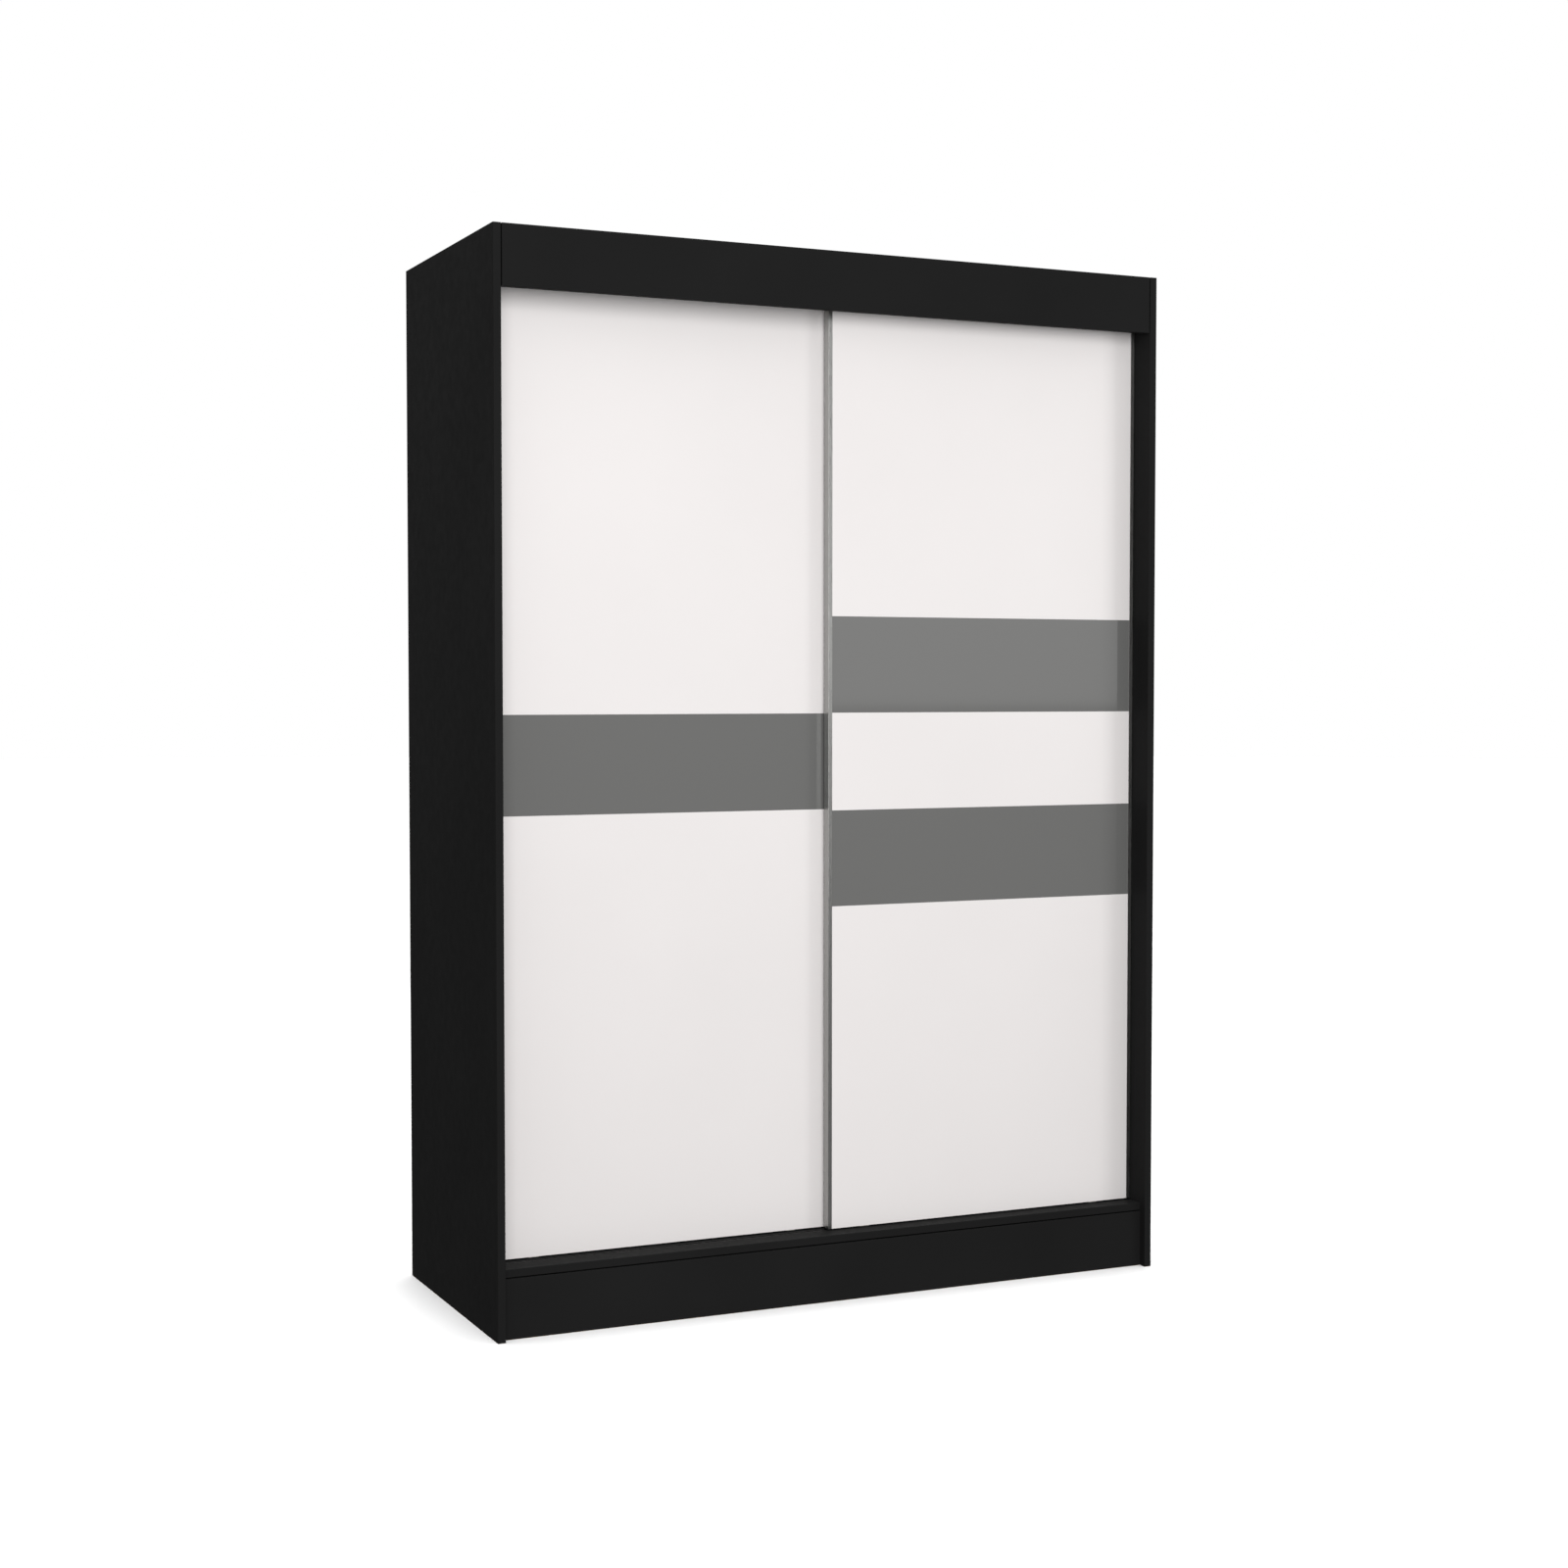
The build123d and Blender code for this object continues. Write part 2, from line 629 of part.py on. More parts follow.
with BuildPart() as centre_divider:
    blank((-HALF_BOARD, HALF_BOARD), (behind(DIVIDER_SETBACK), SEAM_FRONT), (BASE_TOP, UNDER_TOP))
    fillet(centre_divider.edges().filter_by(Axis.Z).group_by(Axis.Y)[0], EDGE_RADIUS)
    cut(bolt_bore, hat_joints + fixed_joints + divider_joints)
    cut(cam_bore, divider_joints)
    cut(dowel_bore, hat_dowels + fixed_dowels + divider_dowels)
    cut(screw_bore, socket_screws)
    cut(pin_bore, pin_hole_places)
save(centre_divider, "centre_divider")

FIXED_SHELVES = (
    ("hat_shelf_left", -INNER, -HALF_BOARD, HAT_SHELF_HEIGHT, hat_joints, hat_dowels),
    ("fixed_shelf_right", HALF_BOARD, INNER, FIXED_SHELF_HEIGHT, fixed_joints, fixed_dowels),
)

for label, left, right, height, joints, dowel_places in FIXED_SHELVES:
    with BuildPart() as fixed_shelf:
        blank((left, right), (behind(SHELF_SETBACK), SEAM_FRONT), (height, height + BOARD))
        fillet(fixed_shelf.edges().filter_by(Axis.X).group_by(Axis.Y)[0], EDGE_RADIUS)
        cut(bolt_bore, joints)
        cut(cam_bore, joints)
        cut(dowel_bore, dowel_places)
    save(fixed_shelf, label)

for number, height in enumerate(LOOSE_SHELF_HEIGHTS, start=1):
    with BuildPart() as loose_shelf:
        blank(
            (HALF_BOARD + LOOSE_SHELF_GAP, INNER - LOOSE_SHELF_GAP),
            (behind(SHELF_SETBACK), SEAM_FRONT),
            (height, height + BOARD),
        )
        fillet(loose_shelf.edges().filter_by(Axis.X).group_by(Axis.Y)[0], EDGE_RADIUS)
    save(loose_shelf, f"shelf_{number}")

# ------------------------------------------------------------------ back

for side, label in ((-1, "back_panel_left"), (1, "back_panel_right")):
    near = side * (SEAM_WEB / 2 + SEAM_CLEARANCE)
    far = side * (WIDTH / 2 - SHEET_SIDE_MARGIN)
    with BuildPart() as back_panel:
        blank(
            sorted((near, far)),
            (REAR_EDGE, sheet_rear),
            (BACK_SHEET_LOW, HEIGHT - SHEET_SIDE_MARGIN),
        )
        cut(nail_bore, nail_places)
        wall_hole = (side * BRACKET_OFFSET, sheet_rear, UNDER_TOP - WALL_HOLE_DROP)
        with Locations(Location(wall_hole, (-90, 0, 0))):
            Cylinder(
                WALL_HOLE_RADIUS,
                BACK_SHEET,
                align=(Align.CENTER, Align.CENTER, Align.MAX),
                mode=Mode.SUBTRACT,
            )
    save(back_panel, label)

with BuildPart() as back_seam_strip:
    seam_z = (BACK_SHEET_LOW, HEIGHT - SHEET_SIDE_MARGIN)
    blank((-SEAM_WEB / 2, SEAM_WEB / 2), (SEAM_FRONT, DEPTH / 2), seam_z)
    blank((-SEAM_FLANGE / 2, SEAM_FLANGE / 2), (sheet_rear, DEPTH / 2), seam_z)
    blank((-SEAM_FLANGE / 2, SEAM_FLANGE / 2), (SEAM_FRONT, REAR_EDGE), (BASE_TOP, UNDER_TOP))
    for edge_z in ((BACK_SHEET_LOW, BASE_TOP), (UNDER_TOP, HEIGHT - SHEET_SIDE_MARGIN)):
        pocket((-SEAM_WEB / 2, SEAM_WEB / 2), (SEAM_FRONT, REAR_EDGE), edge_z)
save(back_seam_strip, "back_seam_strip")

# ------------------------------------------------------------------ rails, track and stops

track_front = behind(sum(LANE_SETBACKS) / 2 - DOOR_PITCH - TRACK_WALL / 2)
track_rear = behind(sum(LANE_SETBACKS) / 2 + DOOR_PITCH + TRACK_WALL / 2)
track_x = (-INNER + TRACK_END_GAP, INNER - TRACK_END_GAP)

with BuildPart() as top_track:
    blank(track_x, (track_front, track_rear), (UNDER_TOP - TRACK_WALL, UNDER_TOP))
    for index in range(len(LANE_SETBACKS) + 1):
        wall_y = track_front + index * DOOR_PITCH
        blank(track_x, (wall_y, wall_y + TRACK_WALL), (UNDER_TOP - TRACK_HEIGHT, UNDER_TOP))
    fillet(top_track.edges().filter_by(Axis.X).group_by(Axis.Z)[0], TRACK_ROUNDING)
    cut(screw_bore, track_screw_places)
save(top_track, "top_track")

for lane, label in zip(wheel_lanes, ("bottom_rail_front", "bottom_rail_rear")):
    with BuildPart() as bottom_rail:
        rail_y_range = (behind(lane - RAIL_WIDTH / 2), behind(lane + RAIL_WIDTH / 2))
        blank(track_x, rail_y_range, (BASE_TOP - RAIL_HEIGHT, BASE_TOP))
        pocket(
            track_x,
            (rail_y_range[0] + RAIL_WALL, rail_y_range[1] - RAIL_WALL),
            (RAIL_RUN_HEIGHT, BASE_TOP),
        )
    save(bottom_rail, label)

stop_length = DOOR_SIDE_GAP + GUIDE_INSET - GUIDE_RADIUS - STOP_CLEARANCE

with BuildPart() as track_stops:
    for side in (-1, 1):
        for lane in LANE_SETBACKS:
            half_width = LANE_WIDTH / 2 - STOP_SIDE_CLEARANCE
            blank(
                sorted((side * INNER, side * (INNER - stop_length))),
                (behind(lane - half_width), behind(lane + half_width)),
                (GUIDE_BOTTOM - STOP_DROP, UNDER_TOP - TRACK_WALL),
            )
    fillet(track_stops.edges().filter_by(Axis.Z), STOP_ROUNDING)
save(track_stops, "track_stops")

# ------------------------------------------------------------------ hanging rail

rail_start = (-INNER + SOCKET_BASE, rail_y, HANGING_RAIL_HEIGHT)
rail_length = INNER - HALF_BOARD - 2 * SOCKET_BASE

with BuildPart() as hanging_rail:
    with BuildSketch(Plane(origin=rail_start, x_dir=UPWARD, z_dir=RIGHTWARD)):
        SlotOverall(HANGING_RAIL_TALL, HANGING_RAIL_THICK)
        SlotOverall(
            HANGING_RAIL_TALL - 2 * HANGING_RAIL_WALL,
            HANGING_RAIL_THICK - 2 * HANGING_RAIL_WALL,
            mode=Mode.SUBTRACT,
        )
    extrude(amount=rail_length)
save(hanging_rail, "hanging_rail")

with BuildPart() as rail_sockets:
    for base_x, out in ((-INNER, RIGHTWARD), (-HALF_BOARD, LEFTWARD)):
        socket_plane = Plane(origin=(base_x, rail_y, HANGING_RAIL_HEIGHT), x_dir=UPWARD, z_dir=out)
        with BuildSketch(socket_plane):
            SlotOverall(SOCKET_PLATE_TALL, SOCKET_PLATE_WIDE)
        extrude(amount=SOCKET_BASE)
        with BuildSketch(socket_plane.offset(SOCKET_BASE)):
            SlotOverall(
                HANGING_RAIL_TALL + 2 * (SOCKET_WALL + SOCKET_CLEARANCE),
                HANGING_RAIL_THICK + 2 * (SOCKET_WALL + SOCKET_CLEARANCE),
            )
            SlotOverall(
                HANGING_RAIL_TALL + 2 * SOCKET_CLEARANCE,
                HANGING_RAIL_THICK + 2 * SOCKET_CLEARANCE,
                mode=Mode.SUBTRACT,
            )
        extrude(amount=SOCKET_RIM)
    cut(screw_bore, socket_screws)
save(rail_sockets, "rail_sockets")

# ------------------------------------------------------------------ carcass fasteners

with BuildPart() as cam_bolts:
    place(bolt, all_joints)
save(cam_bolts, "cam_bolts")

with BuildPart() as cam_discs:
    place(cam, all_joints)
save(cam_discs, "cam_discs")

with BuildPart() as dowels:
    place(dowel, all_dowels)
save(dowels, "dowels")

with BuildPart() as corner_blocks:
    place(block, all_blocks)
    cut(screw_bore, block_screws)
save(corner_blocks, "corner_blocks")

with BuildPart() as wall_brackets:
    for plane in bracket_planes:
        with BuildSketch(plane.offset(-BRACKET_WIDTH / 2)):
            Rectangle(BRACKET_LEG, BRACKET_WALL, align=(Align.MIN, Align.MIN))
            Rectangle(BRACKET_WALL, BRACKET_LEG, align=(Align.MIN, Align.MIN))
        extrude(amount=BRACKET_WIDTH)
        with Locations(plane.location * Location((0, WALL_HOLE_DROP, 0), (0, 90, 0))):
            Cylinder(
                WALL_HOLE_RADIUS,
                BRACKET_WALL,
                align=(Align.CENTER, Align.CENTER, Align.MIN),
                mode=Mode.SUBTRACT,
            )
    cut(screw_bore, bracket_screws)
save(wall_brackets, "wall_brackets")

with BuildPart() as carcass_screws:
    place(screw, block_screws + bracket_screws + socket_screws)
save(carcass_screws, "carcass_screws")

with BuildPart() as track_screws:
    place(screw, track_screw_places)
save(track_screws, "track_screws")

with BuildPart() as shelf_pins:
    place(pin, pin_places)
save(shelf_pins, "shelf_pins")

with BuildPart() as back_nails:
    place(nail, nail_places)
save(back_nails, "back_nails")

# ------------------------------------------------------------------ doors


def edge_profile(door_edge, inward, face_y):
    """Draw one aluminium U around a door's upright edge; inward is +1 or -1 along X."""
    web_x = sorted((door_edge, door_edge + inward * PROFILE_WEB))
    lip_x = sorted((door_edge, door_edge + inward * PROFILE_REACH))
    blank(web_x, (face_y, face_y + PROFILE_DEPTH), (DOOR_BOTTOM, DOOR_TOP))
    blank(lip_x, (face_y, face_y + PROFILE_LIP), (DOOR_BOTTOM, DOOR_TOP))
    rear_lip = (face_y + PROFILE_DEPTH - PROFILE_LIP, face_y + PROFILE_DEPTH)
    blank(lip_x, rear_lip, (DOOR_BOTTOM, DOOR_TOP))


def wheel_unit(wheel_x, face_y):
    """Draw one wheel housing: a body in the door's pocket and a flange flush with its rear."""
    board_front = face_y + PROFILE_LIP
    board_rear = board_front + DOOR_BOARD
    half_body = POCKET_WIDTH / 2 - POCKET_CLEARANCE
    half_flange = FLANGE_WIDTH / 2 - POCKET_CLEARANCE
    body_y = (board_rear - POCKET_DEPTH + POCKET_CLEARANCE, board_rear)
    flange_y = (board_rear - FLANGE_THICKNESS, board_rear)
    height = (DOOR_BOTTOM, DOOR_BOTTOM + POCKET_HEIGHT - POCKET_CLEARANCE)
    blank((wheel_x - half_body, wheel_x + half_body), body_y, height)
    blank((wheel_x - half_flange, wheel_x + half_flange), flange_y, height)
    half_slot = WHEEL_RADIUS + SLOT_CLEARANCE
    wheel_y = face_y + WHEEL_SETBACK
    pocket(
        (wheel_x - half_slot, wheel_x + half_slot),
        (wheel_y - SLOT_WIDTH / 2, wheel_y + SLOT_WIDTH / 2),
        (DOOR_BOTTOM, WHEEL_HEIGHT + half_slot),
    )


def door(label, left_edge, face_setback, stripes):
    """Build one door: its board, stripes, edge profiles, wheels and top guides.

    stripes maps the end of a stripe's name to the height of its centre.
    """
    right_edge = left_edge + DOOR_WIDTH
    face_y = behind(face_setback)
    board_x = (left_edge + PROFILE_WEB, right_edge - PROFILE_WEB)
    board_y = (face_y + PROFILE_LIP, face_y + PROFILE_LIP + DOOR_BOARD)
    wheel_y = face_y + WHEEL_SETBACK
    guide_y = face_y + PROFILE_DEPTH / 2
    outer_is_left = left_edge < -DOOR_WIDTH / 2
    ends = (("outer", "inner") if outer_is_left else ("inner", "outer"))
    wheel_xs = (left_edge + WHEEL_INSET, right_edge - WHEEL_INSET)
    guide_xs = (left_edge + GUIDE_INSET, right_edge - GUIDE_INSET)
    wheel_screws = [
        Location((x + offset, board_y[1], DOOR_BOTTOM + FLANGE_SCREW_HEIGHT), (-90, 0, 0))
        for x in wheel_xs
        for offset in (-FLANGE_SCREW_OFFSET, FLANGE_SCREW_OFFSET)
    ]
    guide_screws = [
        Location((x + offset, guide_y, DOOR_TOP + GUIDE_PLATE_THICKNESS))
        for x in guide_xs
        for offset in (-GUIDE_SCREW_OFFSET, GUIDE_SCREW_OFFSET)
    ]

    with BuildPart() as board:
        blank(board_x, board_y, (DOOR_BOTTOM, DOOR_TOP))
        for centre in stripes.values():
            pocket(
                board_x,
                (board_y[0], board_y[0] + STRIPE_THICKNESS),
                (centre - STRIPE_HEIGHT / 2, centre + STRIPE_HEIGHT / 2),
            )
        for x in wheel_xs:
            pocket(
                (x - POCKET_WIDTH / 2, x + POCKET_WIDTH / 2),
                (board_y[1] - POCKET_DEPTH, board_y[1]),
                (DOOR_BOTTOM, DOOR_BOTTOM + POCKET_HEIGHT),
            )
            pocket(
                (x - FLANGE_WIDTH / 2, x + FLANGE_WIDTH / 2),
                (board_y[1] - FLANGE_THICKNESS, board_y[1]),
                (DOOR_BOTTOM, DOOR_BOTTOM + POCKET_HEIGHT),
            )
        cut(screw_bore, wheel_screws + guide_screws)
    save(board, f"{label}_board")

    for stripe_name, centre in stripes.items():
        with BuildPart() as stripe:
            blank(
                board_x,
                (board_y[0], board_y[0] + STRIPE_THICKNESS),
                (centre - STRIPE_HEIGHT / 2, centre + STRIPE_HEIGHT / 2),
            )
        save(stripe, f"{label}_{stripe_name}")

    for end, door_edge, inward in zip(ends, (left_edge, right_edge), (1, -1)):
        with BuildPart() as profile:
            edge_profile(door_edge, inward, face_y)
            upright_edges = profile.edges().filter_by(Axis.Z).sort_by(Axis.X)
            outer_corners = upright_edges[:2] if inward > 0 else upright_edges[-2:]
            fillet(outer_corners, PROFILE_CORNER)
        save(profile, f"{label}_profile_{end}")

    with BuildPart() as wheel_housings:
        for x in wheel_xs:
            wheel_unit(x, face_y)
            with Locations(Location((x, board_y[1], WHEEL_HEIGHT), (-90, 0, 0))):
                Cylinder(
                    AXLE_RADIUS,
                    POCKET_DEPTH,
                    align=(Align.CENTER, Align.CENTER, Align.MAX),
                    mode=Mode.SUBTRACT,
                )
        cut(screw_bore, wheel_screws)
    save(wheel_housings, f"{label}_wheel_housings")

    with BuildPart() as wheel_axles:
        for x in wheel_xs:
            with BuildSketch(Plane(origin=(x, board_y[1], WHEEL_HEIGHT), z_dir=FORWARD)):
                Circle(AXLE_RADIUS)
            extrude(amount=POCKET_DEPTH - POCKET_CLEARANCE)
    save(wheel_axles, f"{label}_wheel_axles")

    for end, x in zip(ends, wheel_xs):
        wheel_plane = Plane(origin=(x, wheel_y, WHEEL_HEIGHT), z_dir=FORWARD)
        with BuildPart() as wheel:
            with BuildSketch(wheel_plane.offset(-WHEEL_WIDTH / 2)):
                Circle(WHEEL_RADIUS)
            extrude(amount=WHEEL_WIDTH)
            fillet(wheel.edges().filter_by(GeomType.CIRCLE), WHEEL_ROUNDING)
            with BuildSketch(wheel_plane.offset(-WHEEL_HUB_WIDTH / 2)):
                Circle(WHEEL_HUB_RADIUS)
            extrude(amount=WHEEL_HUB_WIDTH)
            with BuildSketch(wheel_plane.offset(-WHEEL_HUB_WIDTH / 2)):
                Circle(AXLE_RADIUS + RUNNING_CLEARANCE)
            extrude(amount=WHEEL_HUB_WIDTH, mode=Mode.SUBTRACT)
        save(wheel, f"{label}_wheel_{end}")

    pin_top = GUIDE_BOTTOM + GUIDE_THICKNESS + GUIDE_END_PLAY
    with BuildPart() as guide_brackets:
        for x in guide_xs:
            with BuildSketch(Plane.XY.offset(DOOR_TOP)):
                with Locations((x, guide_y)):
                    SlotOverall(GUIDE_PLATE_LENGTH, GUIDE_PLATE_WIDTH)
            extrude(amount=GUIDE_PLATE_THICKNESS)
            with BuildSketch(Plane.XY.offset(DOOR_TOP)):
                with Locations((x, guide_y)):
                    Circle(GUIDE_BOSS_RADIUS)
            extrude(amount=GUIDE_LIFT - GUIDE_END_PLAY)
            with BuildSketch(Plane.XY.offset(DOOR_TOP)):
                with Locations((x, guide_y)):
                    Circle(AXLE_RADIUS)
            extrude(amount=pin_top - DOOR_TOP)
            with BuildSketch(Plane.XY.offset(pin_top)):
                with Locations((x, guide_y)):
                    Circle(GUIDE_HEAD_RADIUS)
            extrude(amount=GUIDE_HEAD_THICKNESS)
        cut(screw_bore, guide_screws)
    save(guide_brackets, f"{label}_guide_brackets")

    for end, x in zip(ends, guide_xs):
        with BuildPart() as guide_roller:
            with BuildSketch(Plane.XY.offset(GUIDE_BOTTOM)):
                with Locations((x, guide_y)):
                    Circle(GUIDE_RADIUS)
            extrude(amount=GUIDE_THICKNESS)
            fillet(guide_roller.edges().filter_by(GeomType.CIRCLE), WHEEL_ROUNDING)
            with BuildSketch(Plane.XY.offset(GUIDE_BOTTOM)):
                with Locations((x, guide_y)):
                    Circle(AXLE_RADIUS + RUNNING_CLEARANCE)
            extrude(amount=GUIDE_THICKNESS, mode=Mode.SUBTRACT)
        save(guide_roller, f"{label}_guide_roller_{end}")

    with BuildPart() as door_screws:
        place(screw, wheel_screws + guide_screws)
    save(door_screws, f"{label}_screws")


# The left door runs behind the right door, which carries the brush that seals the overlap
left_door_edge = -INNER + DOOR_SIDE_GAP
right_door_edge = INNER - DOOR_SIDE_GAP - DOOR_WIDTH

door("door_left", left_door_edge, REAR_DOOR_SETBACK, {"stripe": DOOR_MIDDLE})
door(
    "door_right",
    right_door_edge,
    FRONT_DOOR_SETBACK,
    {
        "stripe_lower": DOOR_MIDDLE - STRIPE_PITCH / 2,
        "stripe_upper": DOOR_MIDDLE + STRIPE_PITCH / 2,
    },
)

with BuildPart() as door_right_brush:
    brush_x = right_door_edge + BRUSH_INSET
    brush_y = behind(FRONT_DOOR_SETBACK + PROFILE_DEPTH)
    blank(
        (brush_x, brush_x + BRUSH_WIDTH),
        (brush_y, brush_y + BRUSH_DEPTH),
        (DOOR_BOTTOM, DOOR_TOP),
    )
save(door_right_brush, "door_right_brush")
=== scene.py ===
import logging
import math
from dataclasses import dataclass
from enum import Enum
from typing import Any

import bmesh
import bpy
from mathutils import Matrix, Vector


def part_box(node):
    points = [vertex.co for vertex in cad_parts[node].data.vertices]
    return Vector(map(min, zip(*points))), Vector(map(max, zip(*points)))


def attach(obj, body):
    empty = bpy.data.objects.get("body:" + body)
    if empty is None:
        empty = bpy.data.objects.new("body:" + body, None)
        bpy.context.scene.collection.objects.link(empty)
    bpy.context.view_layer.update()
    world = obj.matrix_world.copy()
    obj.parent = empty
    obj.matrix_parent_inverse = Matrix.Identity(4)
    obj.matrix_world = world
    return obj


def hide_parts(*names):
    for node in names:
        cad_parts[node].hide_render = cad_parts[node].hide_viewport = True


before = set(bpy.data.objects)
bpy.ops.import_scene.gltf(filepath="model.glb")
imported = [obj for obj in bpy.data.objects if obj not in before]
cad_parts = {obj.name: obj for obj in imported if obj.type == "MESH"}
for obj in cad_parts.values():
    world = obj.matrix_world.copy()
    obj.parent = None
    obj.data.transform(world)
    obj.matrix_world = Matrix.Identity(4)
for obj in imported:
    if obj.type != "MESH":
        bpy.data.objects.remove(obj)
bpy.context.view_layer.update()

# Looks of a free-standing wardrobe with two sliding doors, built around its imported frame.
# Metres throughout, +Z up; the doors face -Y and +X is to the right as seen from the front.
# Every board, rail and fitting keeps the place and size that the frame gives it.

MM = 0.001
SKIN = 0.2 * MM                             # how near to a plane a point lies to be on it
WELD = 0.002 * MM                           # how near two corners lie to be one
SHARE, FIRST, SECOND, MIXED = 0, 6, 7, 2    # sockets of a colour Mix node, by their index
NOISE_SPAN = (0.3, 0.7)                     # where nearly all the values of a noise lie
NOISE_DETAIL = 3.0
SHANK_SIDES, NAIL_SIDES = 24, 20            # facets round a screw and round a nail
ARM_SIDES, ARM_SCALE = 4, (1.0, 0.2, 1.001)   # one arm of a cross recess, slim and a hair tall
PILE_ROWS, TUFT_SIDES = 3, 5
LOG = logging.getLogger("wardrobe")

# ------------------------------------------------------------------ colour and node helpers


def linear(colour: str) -> tuple[float, float, float, float]:
    """Turn a colour written as sRGB hex into the linear values that shaders take.

    Args:
        colour: six hex digits with a leading hash, such as "#F2EEED".

    Returns:
        Red, green, blue and an alpha of 1.
    """
    channels = [int(colour[at:at + 2], 16) / 255 for at in (1, 3, 5)]
    straight = [c / 12.92 if c <= 0.04045 else ((c + 0.055) / 1.055) ** 2.4 for c in channels]
    return (straight[0], straight[1], straight[2], 1.0)


def feed(tree: bpy.types.NodeTree, node: bpy.types.Node, inputs: dict[Any, Any]) -> None:
    """Give the inputs of a node their values and links.

    Args:
        tree: the tree that the node is in.
        node: the node.
        inputs: a value, another node's output socket or a list of sockets, by input.
    """
    for name, value in inputs.items():
        for source in value if isinstance(value, list) else [value]:
            if isinstance(source, bpy.types.NodeSocket):
                tree.links.new(source, node.inputs[name])
            else:
                node.inputs[name].default_value = source


def add_node(tree: bpy.types.NodeTree, kind: str, inputs: dict[Any, Any] | None = None,
             **settings: Any) -> bpy.types.Node:
    """Add a node to a tree with its settings and links.

    Args:
        tree: the shader or geometry tree.
        kind: the node's type name.
        inputs: what its inputs get, as for feed.
        settings: the node's own properties.

    Returns:
        The new node.
    """
    made = tree.nodes.new(kind)
    for name, value in settings.items():
        setattr(made, name, value)
    feed(tree, made, inputs or {})
    return made


def mottle(tree: bpy.types.NodeTree, place: bpy.types.NodeSocket, grain: float,
           low: float = 0.0, high: float = 1.0,
           stretch: tuple[float, float, float] = (1.0, 1.0, 1.0)) -> bpy.types.NodeSocket:
    """Make a soft random pattern between two values.

    Args:
        tree: the material's tree.
        place: the coordinates to read.
        grain: the real size of one patch, in metres.
        low: the pattern's lowest value.
        high: the pattern's highest value.
        stretch: how much finer the pattern is along X, Y and Z.

    Returns:
        The pattern's value socket.
    """
    scaled = add_node(tree, "ShaderNodeMapping", {"Vector": place, "Scale": stretch})
    noise = add_node(tree, "ShaderNodeTexNoise", {"Vector": scaled.outputs["Vector"],
                                                  "Scale": 1 / grain, "Detail": NOISE_DETAIL})
    spread = add_node(tree, "ShaderNodeMapRange",
                      {"Value": noise.outputs["Fac"], "From Min": NOISE_SPAN[0],
                       "From Max": NOISE_SPAN[1], "To Min": low, "To Max": high})
    return spread.outputs["Result"]


# ------------------------------------------------------------------ finishes


@dataclass(frozen=True)
class Finish:
    """A named surface. Each kind of surface says how it fills the shader tree."""

    name: str

    def material(self) -> bpy.types.Material:
        """Give the material of this finish, built on first use.

        Returns:
            The material.
        """
        found = bpy.data.materials.get(self.name)
        if found is not None:
            return found
        made = bpy.data.materials.new(self.name)
        made.use_nodes = True
        tree = made.node_tree
        tree.nodes.clear()
        shader = add_node(tree, "ShaderNodeBsdfPrincipled")
        add_node(tree, "ShaderNodeOutputMaterial", {"Surface": shader.outputs["BSDF"]})
        place = add_node(tree, "ShaderNodeTexCoord").outputs["Object"]
        self.fill(tree, shader, place)
        return made

    def fill(self, tree: bpy.types.NodeTree, shader: bpy.types.Node,
             place: bpy.types.NodeSocket) -> None:
        """Set the shader's inputs and lay out the patterns that feed them.

        Args:
            tree: the material's tree.
            shader: its Principled shader.
            place: the Object coordinates, in metres in the row frame.
        """
        raise NotImplementedError


@dataclass(frozen=True)
class Melamine(Finish):
    """Melamine foil pressed on chipboard: a fine, even pearl with a satin sheen."""

    base: str = "#222222"
    shade: str = "#1F1F1F"
    cloud: float = 0.35
    roughness: float = 0.5
    drift: float = 0.04
    drift_patch: float = 0.02
    specular: float = 0.01
    pearl: float = 0.0009
    depth: float = 0.00001
    strength: float = 0.2

    def fill(self, tree: bpy.types.NodeTree, shader: bpy.types.Node,
             place: bpy.types.NodeSocket) -> None:
        """Lay the foil's faint clouding, its pearl relief and its even satin gloss."""
        foil = add_node(tree, "ShaderNodeMix",
                        {SHARE: mottle(tree, place, self.cloud), FIRST: linear(self.base),
                         SECOND: linear(self.shade)}, data_type="RGBA")
        relief = add_node(tree, "ShaderNodeBump",
                          {"Height": mottle(tree, place, self.pearl), "Distance": self.depth,
                           "Strength": self.strength})
        feed(tree, shader, {
            "Base Color": foil.outputs[MIXED],
            "Roughness": mottle(tree, place, self.drift_patch, self.roughness - self.drift,
                                self.roughness + self.drift),
            "Specular IOR Level": self.specular,
            "Normal": relief.outputs["Normal"]})


